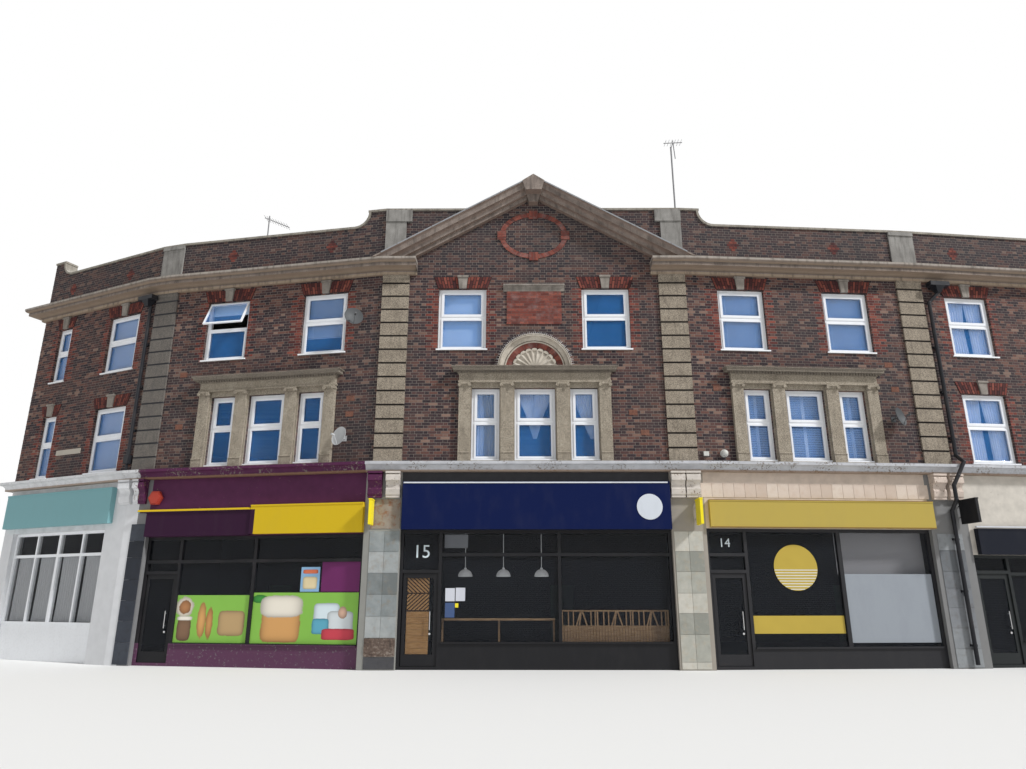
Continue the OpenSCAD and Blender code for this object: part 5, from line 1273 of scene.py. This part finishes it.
def red_rubbed(name):
    """Rubbed red brick, whose tone changes from brick to brick."""
    f = Finish(name, 0.85)
    tone = f.tone()
    base = f.ramp(tone,
                  [(0.0, (0.055, 0.020, 0.022)), (0.35, (0.115, 0.033, 0.030)),
                   (0.75, (0.185, 0.050, 0.038)),
                         (1.0, (0.26, 0.080, 0.058))])
    f.colour(f.blend(f.between(f.noise(0.06, 5), 0.42, 0.8) * 0.5, base, (0.06, 0.034, 0.034)))
    f.bump(f.noise(0.005, 4), 0.0015)
    return f.mat


# Stepped red diamonds in the parapets and air bricks in the walls: for each run, (middle along it, height)
DIAMONDS = {LEFT_WING: ((1.07, 11.0), (3.67, 11.0)), LEFT_BAY: ((1.59, 11.02), (4.62, 11.02)),
            RIGHT_BAY: ((1.44, 11.0), (4.32, 11.0)), RIGHT_WING: ((1.19, 11.0), (3.85, 11.0))}
AIR_BRICKS = {LEFT_BAY: ((5.47, 6.62), (5.47, 6.20), (0.56, 6.07), (0.50, 7.55)),
              CENTRE: ((6.62, 6.20), (6.90, 5.67)), RIGHT_BAY: ((0.66, 6.86), (5.48, 6.92), (5.40, 7.60))}


class BUILDING_OT_patches(Operator):
    """Sets the stepped diamonds in the parapets and the terracotta air bricks in the walls"""
    bl_idname = "building.patches"
    bl_label = "Diamonds and air bricks"

    def execute(self, context):
        row, head = 0.075, 0.1125
        parts = []
        for k, s, z in ((k, *spot) for k, spots in DIAMONDS.items() for spot in spots):
            z = LEDGE_TOP + round((z - LEDGE_TOP) / row) * row
            for step, count in enumerate((1, 2, 3, 2, 1)):
                for i in range(count):
                    x = s + (i - count / 2) * head
                    brick = block("head", (x + 0.004, -0.0085, z + (step - 2) * row + 0.004),
                                  (x + head - 0.004, 0.001, z + (step - 1) * row - 0.004))
                    soften(brick, 0.0025)
                    parts.append(to_run(brick, k))
        keep(toned(join("parapet_diamonds", parts)), red_rubbed("diamond_brick"))
        model = block("air_brick", (-0.107, -0.009, -0.07), (0.107, 0.002, 0.07))
        edit(model, faces=lambda f: f.normal.y < -0.9)
        bpy.ops.mesh.subdivide(number_cuts=5)
        bpy.ops.mesh.inset(thickness=0.0055, use_individual=True)
        bpy.ops.mesh.inset(thickness=0.001, depth=-0.007, use_individual=True)
        done()
        parts = [to_run(copy(model, "air"), k, s, z) for k, spots in AIR_BRICKS.items() for s, z in spots]
        remove(model)
        clay = stone("air_brick_clay", (0.17, 0.075, 0.05), (0.26, 0.12, 0.085), (0.34, 0.18, 0.13),
                     streak=0.4)
        keep(join("air_bricks", parts), clay)
        return {"FINISHED"}


class BUILDING_OT_hood(Operator):
    """Sets bird spikes round the hood of the half-round shell"""
    bl_idname = "building.hood"
    bl_label = "Hood spikes"

    def execute(self, context):
        middle, up, out, ring_r, count = SHELL_ARCH[0], SHELL_ARCH[1], -0.12, 0.966, 62
        fresh()
        bpy.ops.mesh.primitive_cone_add(vertices=5, radius1=0.0065, radius2=0.002, depth=0.10,
                                        location=(0, 0, 0.05))
        spike = bpy.context.object
        bpy.ops.object.transform_apply(location=True, rotation=True, scale=True)
        tilted(spike, 20, (0, 0, 0))
        parts = []
        for i in range(count):
            a = math.radians(4 + 172 * i / (count - 1))
            piece = copy(spike, "spike")
            piece.rotation_euler = (0, math.pi / 2 - a, 0)
            row = 0.03 * (i % 3 - 1)
            piece.location = (middle + ring_r * math.cos(a), out + row, up + ring_r * math.sin(a))
            pick(piece)
            bpy.ops.object.transform_apply(location=True, rotation=True, scale=True)
            parts.append(piece)
        remove(spike)
        pale = painted("pale_spikes", (0.72, 0.73, 0.75), 0.35, 0.1)
        set_out("bird_spikes", parts, CENTRE, pale)
        return {"FINISHED"}


# Shops

PANE_Y = 0.165


def film(s0, s1, z0, z1, thick=0.0012):
    """A thin plate on the face of the shop glass."""
    return block("film", (s0, PANE_Y - thick, z0), (s1, PANE_Y, z1))


def vinyl(name, colour, shapes=()):
    """Printed film: one ground colour with soft shapes on it."""
    f = Finish(name, 0.4)
    local = along_front(f)
    s, z = f.part(local, 0), f.part(local, 2)
    shade = f.blend(f.noise(0.8, 2), colour, tuple(min(1, c * 1.25) for c in colour))
    for x, up, rx, rz, tone, square in shapes:
        a = abs((s - x) / rx)
        b = abs((z - up) / rz)
        far = a ** float(square) + b ** float(square)
        wave = (f.noise(0.12, 3) - 0.5) * 0.9
        body = f.blend(f.between(far, 0.0, 0.9), tuple(min(1, c * 1.35) for c in tone),
                       tuple(c * 0.7 for c in tone))
        shade = f.blend(f.between(far + wave, 1.1, 0.85), shade, body)
    f.colour(shade)
    f.bump(f.noise(0.3, 2), 0.0006)
    return f.mat


def numerals(text, high, k, s, z):
    """A house number as thin solid figures on the glass of run k."""
    fresh()
    bpy.ops.object.text_add(location=(0, 0, 0))
    ob = bpy.context.object
    ob.data.body, ob.data.extrude, ob.data.align_x = text, 0.001, "CENTER"
    ob.data.size = high / 0.7
    pick(ob)
    bpy.ops.object.convert(target="MESH")
    ob = bpy.context.object
    ob.name = ob.data.name = "number_" + text
    ob.rotation_euler = (math.pi / 2, 0, 0)
    ob.location = (0, PANE_Y - 0.001, 0)
    bpy.ops.object.transform_apply(location=True, rotation=True, scale=True)
    return to_run(ob, k, s, z)


# Shapes on the green film as (along, height, half width, half height, colour, how square)
GREEN_SHAPES = (
    (1.30, 1.40, 0.25, 0.25, (0.66, 0.60, 0.50), 2), (1.30, 1.40, 0.17, 0.17, (0.34, 0.16, 0.07), 2),
    (1.33, 0.86, 0.19, 0.27, (0.17, 0.10, 0.06), 4), (1.33, 1.13, 0.21, 0.05, (0.66, 0.62, 0.55), 4),
    (1.80, 1.08, 0.12, 0.44, (0.52, 0.28, 0.10), 2), (2.02, 1.02, 0.10, 0.38, (0.44, 0.22, 0.08), 2),
    (2.62, 1.02, 0.36, 0.30, (0.38, 0.26, 0.13), 6), (3.36, 1.60, 0.22, 0.10, (0.04, 0.22, 0.04), 2),
    (3.95, 0.98, 0.52, 0.40, (0.50, 0.27, 0.10), 6), (3.95, 1.42, 0.56, 0.26, (0.64, 0.60, 0.52), 4),
    (5.15, 1.26, 0.34, 0.24, (0.52, 0.60, 0.64), 6), (5.50, 1.06, 0.34, 0.26, (0.50, 0.54, 0.56), 6),
    (5.00, 0.96, 0.22, 0.18, (0.09, 0.30, 0.40), 6), (5.46, 0.78, 0.42, 0.13, (0.45, 0.05, 0.07), 6),
    (5.56, 1.28, 0.12, 0.14, (0.55, 0.36, 0.27), 2),
)
POSTER_SHAPES = ((4.65, 1.98, 0.19, 0.15, (0.62, 0.52, 0.32), 6),
                 (4.65, 2.25, 0.2, 0.05, (0.55, 0.14, 0.07), 6))
GOLD = (0.42, 0.31, 0.055)
DISC_S, DISC_Z, DISC_R = 2.32, 2.34, 0.55


class BUILDING_OT_glass_films(Operator):
    """Puts the printed films, house numbers, bare papers, the screen and the gold disc on the glass"""
    bl_idname = "building.glass_films"
    bl_label = "Films and numbers"

    def execute(self, context):
        films = (
            ("green_window_film", LEFT_BAY, vinyl("green_print", (0.22, 0.46, 0.075), GREEN_SHAPES),
             ((1.065, 3.055, 0.555, 1.69), (3.172, 5.965, 0.555, 1.75))),
            ("plum_window_film", LEFT_BAY, vinyl("plum_print", (0.13, 0.02, 0.10)),
             ((4.95, 5.965, 1.77, 2.50),)),
            ("window_poster", LEFT_BAY, vinyl("poster_print", (0.24, 0.42, 0.62), POSTER_SHAPES),
             ((4.40, 4.90, 1.77, 2.36),)),
            ("bare_papers", CENTRE, painted("white_paper", (0.60, 0.62, 0.68), 0.7, 0.15),
             ((1.89, 2.12, 1.545, 1.85), (2.14, 2.37, 1.55, 1.86))),
            ("blue_paper", CENTRE, painted("blue_paper_print", (0.06, 0.10, 0.22), 0.6, 0.2),
             ((1.89, 2.12, 1.17, 1.51),)),
            ("yellow_note", CENTRE, painted("yellow_paper", (0.85, 0.72, 0.04), 0.7, 0.1),
             ((2.13, 2.21, 1.40, 1.50),)),
            ("gold_low_film", RIGHT_BAY, vinyl("gold_low_print", GOLD), ((1.14, 3.40, 0.80, 1.21),)),
        )
        for name, k, finish, plates in films:
            set_out(name, [film(*plate) for plate in plates], k, finish)
        screen = block("screen", (1.83, 0.30, 2.81), (2.41, 0.34, 3.14))
        soften(screen, 0.006, 2)
        keep(to_run(screen, CENTRE), painted("grey_screen", (0.40, 0.42, 0.46), 0.5, 0.1))
        white = painted("number_white", (0.66, 0.74, 0.78), 0.4, 0.1)
        for text, high, k, s, z in (("15", 0.31, CENTRE, 1.285, 2.57),
                                    ("14", 0.21, RIGHT_BAY, 0.575, 2.83)):
            keep(numerals(text, high, k, s, z), white)
        self.gold_disc()
        return {"FINISHED"}

    def gold_disc(self):
        """A gold disc on the right bay's glass, with eight level white bands over its lower half."""
        disc = drum("gold_disc", (DISC_S, PANE_Y - 0.002, DISC_Z), DISC_R, 0.002, 64)
        keep(to_run(disc, RIGHT_BAY), vinyl("gold_disc_film", GOLD))
        bands = []
        for i in range(8):
            drop = 0.06 + 0.065 * i
            half = math.sqrt((DISC_R - 0.005) ** 2 - drop * drop)
            bands.append(block("band", (DISC_S - half, PANE_Y - 0.0045, DISC_Z - drop - 0.011),
                               (DISC_S + half, PANE_Y - 0.003, DISC_Z - drop + 0.011)))
        set_out("disc_bands", bands, RIGHT_BAY, painted("band_white", (0.66, 0.66, 0.62), 0.5, 0.1))


# Slabs on the piers as (finish, run, from, to, columns, levels of the joints, how far they stand out)
PIER_SLABS = (
    ("dark_granite", LEFT_QUOIN, 0.245, 0.715, 1, (0.02, 0.55, 1.06, 1.56, 2.07, 2.63, 3.05, 3.49), 0.014),
    ("dark_plinth", CENTRE, 0.015, 0.745, 1, (0.02, 0.29), 0.016),
    ("green_slate", CENTRE, 0.015, 0.745, 2, (0.715, 1.20, 1.70, 2.20, 2.70, 3.20), 0.014),
    ("rusty_slate", CENTRE, 0.015, 0.745, 1, (3.25, 3.98), 0.016),
    ("cream_slate", CENTRE, 7.475, 8.175, 2, (0.02, 0.18, 0.79, 1.27, 1.73, 2.23, 2.71, 3.19), 0.014),
    ("grey_slate", RIGHT_QUOIN, 0.02, 0.70, 1, (0.02, 0.45, 0.92, 1.39, 1.85, 2.25, 2.76, 3.17), 0.014),
    ("cream_tile", RIGHT_BAY, 0.02, 5.93, 21, (4.02, 4.385), 0.010),
)
SLAB_TONES = {
    "dark_granite": (((0.020, 0.023, 0.030), (0.034, 0.040, 0.054), (0.060, 0.068, 0.084)),
                     (0.03, 0.028, 0.03), 0.3),
    "dark_plinth": (((0.030, 0.030, 0.034), (0.048, 0.048, 0.054), (0.075, 0.075, 0.080)),
                    (0.03, 0.028, 0.03), 0.3),
    "green_slate": (((0.15, 0.165, 0.165), (0.25, 0.275, 0.28), (0.38, 0.40, 0.40)), (0.26, 0.20, 0.14),
                    0.3),
    "rusty_slate": (((0.09, 0.065, 0.05), (0.16, 0.12, 0.095), (0.30, 0.26, 0.22)), (0.24, 0.095, 0.035),
                    0.8),
    "cream_slate": (((0.26, 0.265, 0.235), (0.40, 0.40, 0.355), (0.56, 0.54, 0.48)), (0.44, 0.34, 0.22),
                    0.25),
    "cream_tile": (((0.54, 0.44, 0.365), (0.60, 0.50, 0.425), (0.65, 0.56, 0.48)), (0.50, 0.36, 0.26),
                   0.25),
    "grey_slate": (((0.13, 0.14, 0.15), (0.19, 0.20, 0.215), (0.26, 0.275, 0.285)), (0.12, 0.10, 0.09),
                   0.3),
}


def slab_stone(name, tones, stain, amount):
    """Riven stone slabs, whose tone changes from slab to slab."""
    f = Finish(name, 0.55)
    tone = f.tone()
    cloud = f.noise(0.22, 6, 0.6)
    base = f.ramp(tone * 0.55 + cloud * 0.45,
                  [(0.25, tones[0]), (0.5, tones[1]), (0.75, tones[2])])
    f.colour(f.blend(f.between(f.noise(0.13, 5), 0.52, 0.68) * amount, base, stain))
    f.rough(cloud, 0.45, 0.8)
    f.bump(f.noise(0.08, 5) + f.noise(0.01, 4) * 0.4, 0.003)
    return f.mat


class BUILDING_OT_pier_slabs(Operator):
    """Faces the piers between the shops with stone slabs in straight courses"""
    bl_idname = "building.pier_slabs"
    bl_label = "Stone slabs on the piers"

    def execute(self, context):
        groups = {}
        for finish, k, s0, s1, columns, levels, out in PIER_SLABS:
            for low, high in zip(levels, levels[1:]):
                for i in range(columns):
                    a, b = (s0 + (s1 - s0) * share / columns for share in (i, i + 1))
                    slab = block("slab", (a + 0.003, -out, low + 0.003), (b - 0.003, 0.001, high - 0.003))
                    soften(slab, 0.003)
                    groups.setdefault(finish, []).append(to_run(slab, k))
        for finish, parts in groups.items():
            material = slab_stone(finish, *SLAB_TONES[finish])
            keep(toned(join(finish + "_slabs", parts)), material)
        self.rough_base()
        return {"FINISHED"}

    def rough_base(self):
        """The broken stone course that shows where the slabs over the plinth have come away."""
        ob = block("broken_stone_course", (0.015, -0.006, 0.30), (0.745, 0.001, 0.705))
        edit(ob)
        bpy.ops.mesh.subdivide(number_cuts=18)
        done()
        for v in ob.data.vertices:
            if v.co.y < -0.005:
                across = math.sin(v.co.x * 31 + 4 * math.sin(v.co.z * 17))
                up = math.cos(v.co.z * 27 + 3 * math.sin(v.co.x * 13))
                v.co.y += -0.014 + 0.011 * across * up
        rough = stone("broken_rubble", (0.05, 0.035, 0.03), (0.15, 0.11, 0.09), (0.40, 0.36, 0.31),
                      grain=0.06, pit=0.01)
        smooth(ob, 50)
        keep(to_run(ob, CENTRE), rough)


class BUILDING_OT_shop_fittings(Operator):
    """Makes the door pulls, the slatted door panel, the blind of the right bay's shop and small fittings"""
    bl_idname = "building.shop_fittings"
    bl_label = "Shop fittings"

    def execute(self, context):
        steel = painted("brushed_door_pull", (0.60, 0.60, 0.60), 0.3, 0.1, Metallic=0.9)
        for number, k, start in DOORS:
            s = start + 0.775
            parts = [drum("bar", (s, 0.100, 1.10), 0.011, 0.42, 20, (0, 0, 0))]
            parts += [drum("foot", (s, 0.127, z), 0.008, 0.052, 16) for z in (0.95, 1.25)]
            parts.append(drum("rose", (s, 0.150, 0.80), 0.026, 0.006, 24))
            parts.append(drum("lock", (s, 0.145, 0.80), 0.009, 0.014, 16))
            set_out(f"door_{number}_pull", parts, k, steel, f"door_{number}_body")
        self.slatted_door()
        self.right_bay_shop()
        return {"FINISHED"}

    def slatted_door(self):
        """The middle shop's door panel: level boards below, two rows of sloping slats above."""
        level = block("slat", (0.96, 0.190, 0.34), (1.50, 0.198, 0.475))
        soften(level, 0.003)
        repeat(level, 7, (0, 0, 0.1385))
        parts = [level]
        # Painted shade: a near-black board behind the sloping slats darkens the gaps between them
        back = to_run(block("door_3_backing", (0.96, 0.199, 1.31), (1.50, 0.203, 2.12)), CENTRE)
        keep(back, timber("painted_shade_backing", (0.03, 0.018, 0.010), (0.06, 0.035, 0.02)),
             "door_3_body")
        for low, side in ((1.34, 1), (1.745, -1)):
            for i in range(-6, 7):
                slat = block("slat", (0.7, 0.186, -0.020), (1.8, 0.196, 0.020))
                edit(slat)
                bpy.ops.transform.rotate(value=side * math.radians(42), orient_axis="Y",
                                         orient_type="GLOBAL", center_override=(1.23, 0.19, 0))
                done()
                move(slat, (0, 0, low + 0.19 + i * 0.09))
                trim(slat, 0.965, 1.495, low, low + 0.375)
                if slat.data.polygons:
                    parts.append(slat)
                else:
                    remove(slat)
        wood = timber("varnished_slats", (0.36, 0.18, 0.065), (0.66, 0.40, 0.17), (14, 1, 1))
        set_out("door_3_slats", parts, CENTRE, wood, "door_3_body")

    def right_bay_shop(self):
        """The grey roller blind and the frosted film under it."""
        roller = block("grey_shop_blind", (3.50, 0.42, 2.21), (5.80, 0.422, 3.24))
        foot = block("foot_bar", (3.50, 0.41, 2.19), (5.80, 0.432, 2.22))
        grey = painted("grey_blind_cloth", (0.50, 0.50, 0.53), 0.8, 0.15, (0.40, 0.40, 0.40))
        set_out("grey_shop_blind", [roller, foot], RIGHT_BAY, grey)
        frosted = painted("frosted_film", (0.33, 0.36, 0.40), 0.6, 0.3, (0.24, 0.26, 0.30), Alpha=0.85)
        set_out("frosted_film", [film(3.53, 5.77, 0.585, 2.19)], RIGHT_BAY, frosted)


class BUILDING_OT_board_trims(Operator):
    """Adds the trims of the name boards, their bare disc and the lead on the sloping cornice"""
    bl_idname = "building.board_trims"
    bl_label = "Trims and lead"

    def execute(self, context):
        disc = drum("pale_disc", (6.885, -0.176, 3.77), 0.315, 0.012, 48)
        soften(disc, 0.003)
        keep(to_run(disc, CENTRE), painted("pale_disc_paint", (0.62, 0.66, 0.72), 0.4, 0.1))
        white = painted("white_trim_paint", (0.66, 0.68, 0.72), 0.4, 0.25)
        strips = [to_run(block("strip", (0.82, -0.186, 4.352), (7.36, -0.160, 4.385)), CENTRE),
                  to_run(block("strip", (0.33, -0.12, 3.325), (4.72, -0.06, 3.36)), RIGHT_WING)]
        keep(join("board_trims", strips), white)
        edges = [block("edge", (0.19, -0.1245, 3.945), (5.925, -0.112, 3.957)),
                 block("edge", (0.19, -0.117, 3.285), (5.925, -0.1105, 3.30))]
        brown = painted("brown_board_edge", (0.20, 0.09, 0.03), 0.5, 0.3)
        set_out("gold_board_edges", edges, RIGHT_BAY, brown)
        self.lead()
        return {"FINISHED"}

    def lead(self):
        """Lead dressed over the sloping cornices, lapped at even steps and turned down over their edge."""
        parts = []
        half, rise, out, lap = RUN_LENGTH[CENTRE] / 2, 0.565773, 0.452, 0.92
        for side in (-1, 1):
            for i in range(5):
                a, b = i * lap + 0.02, min((i + 1) * lap, half + 0.02)
                sheet = block("lead", (a, -out, 0.0), (b, -0.01, 0.004))
                lip = block("lip", (a, -out - 0.004, -0.032), (b, -out, 0.004))
                strips = [sheet, lip]
                if i < 4:
                    strips.append(drum("roll", (b - 0.01, -out / 2 - 0.005, 0.012), 0.013, out - 0.03, 12))
                piece = join("lead", strips)
                for v in piece.data.vertices:
                    v.co.z += APEX - v.co.x * rise + 0.001
                    v.co.x *= side
                parts.append(piece)
        ob = join("pediment_lead", parts)
        edit(ob)
        bpy.ops.mesh.normals_make_consistent(inside=False)
        done()
        move(ob, (RUN_LENGTH[CENTRE] / 2, 0, 0))
        lead = painted("weathered_lead", (0.30, 0.31, 0.33), 0.6, 0.6, (0.17, 0.165, 0.16))
        keep(to_run(ob, CENTRE), lead)


# Stage

class BUILDING_OT_stage(Operator):
    """Sets the camera, the pale floor and the soft studio light"""
    bl_idname = "building.stage"
    bl_label = "Stage"

    def execute(self, context):
        settings, scene = context.scene.stage_settings, context.scene
        fresh()
        bpy.ops.object.camera_add(location=(-0.480, -23.581, 1.6),
                                  rotation=(math.radians(106.491), 0, math.radians(0.272)))
        scene.camera = context.object
        scene.camera.data.sensor_width, scene.camera.data.lens = 36, settings.lens
        scene.camera.data.clip_end = 500
        fresh()
        bpy.ops.mesh.primitive_plane_add(size=400, location=(0, 0, -0.002))
        floor = context.object
        floor.name = "floor"
        bpy.ops.object.transform_apply(location=True, rotation=False, scale=True)
        f = Finish("pale_floor", 0.9)
        f.colour(tuple(settings.floor))
        floor.data.materials.append(f.mat)
        fresh()
        bpy.ops.object.light_add(type="SUN", rotation=Vector(SUN_FROM).to_track_quat("Z", "Y").to_euler())
        context.object.data.energy, context.object.data.angle = settings.sun, math.radians(6)
        world = bpy.data.worlds.new("studio")
        scene.world = world
        world.use_nodes = True
        tree = world.node_tree
        rays, lamp = tree.nodes.new("ShaderNodeLightPath"), tree.nodes["Background"]
        seen = tree.nodes.new("ShaderNodeMath")
        seen.operation = "MAXIMUM"
        through = tree.nodes.new("ShaderNodeMath")
        through.operation = "MAXIMUM"
        level = tree.nodes.new("ShaderNodeMapRange")
        tree.links.new(rays.outputs["Is Camera Ray"], seen.inputs[0])
        tree.links.new(rays.outputs["Is Glossy Ray"], seen.inputs[1])
        tree.links.new(seen.outputs[0], through.inputs[0])
        tree.links.new(rays.outputs["Is Transmission Ray"], through.inputs[1])
        tree.links.new(through.outputs[0], level.inputs[0])
        level.inputs[3].default_value, level.inputs[4].default_value = settings.sky, 1.0
        tree.links.new(level.outputs[0], lamp.inputs["Strength"])
        lamp.inputs["Color"].default_value = (1, 1, 1, 1)
        scene.view_settings.view_transform = "Standard"
        return {"FINISHED"}


class BUILDING_PT_panel(Panel):
    """Shows the brick and stage settings and a button for each step"""
    bl_label = "Corner shop building"
    bl_idname = "BUILDING_PT_panel"
    bl_space_type = "VIEW_3D"
    bl_region_type = "UI"
    bl_category = "Building"

    def draw(self, context):
        for group in (context.scene.brick_settings, context.scene.stage_settings):
            for key in group.__annotations__:
                self.layout.prop(group, key)
        for step in STEPS:
            self.layout.operator(step.bl_idname)


STEPS = (BUILDING_OT_stage, BUILDING_OT_finishes, BUILDING_OT_bricks, BUILDING_OT_sashes,
         BUILDING_OT_blinds, BUILDING_OT_curtains, BUILDING_OT_arches, BUILDING_OT_patches,
         BUILDING_OT_hood, BUILDING_OT_glass_films, BUILDING_OT_pier_slabs,
         BUILDING_OT_shop_fittings, BUILDING_OT_board_trims)
CLASSES = (BrickSettings, StageSettings, *STEPS, BUILDING_PT_panel)


def register():
    for cls in CLASSES:
        bpy.utils.register_class(cls)
    bpy.types.Scene.brick_settings = PointerProperty(type=BrickSettings)
    bpy.types.Scene.stage_settings = PointerProperty(type=StageSettings)


def unregister():
    del bpy.types.Scene.brick_settings, bpy.types.Scene.stage_settings
    for cls in reversed(CLASSES):
        bpy.utils.unregister_class(cls)


def main():
    register()
    for step in STEPS:
        group, call = step.bl_idname.split(".")
        getattr(getattr(bpy.ops, group), call)()
    fresh()


if __name__ == "__main__":
    main()
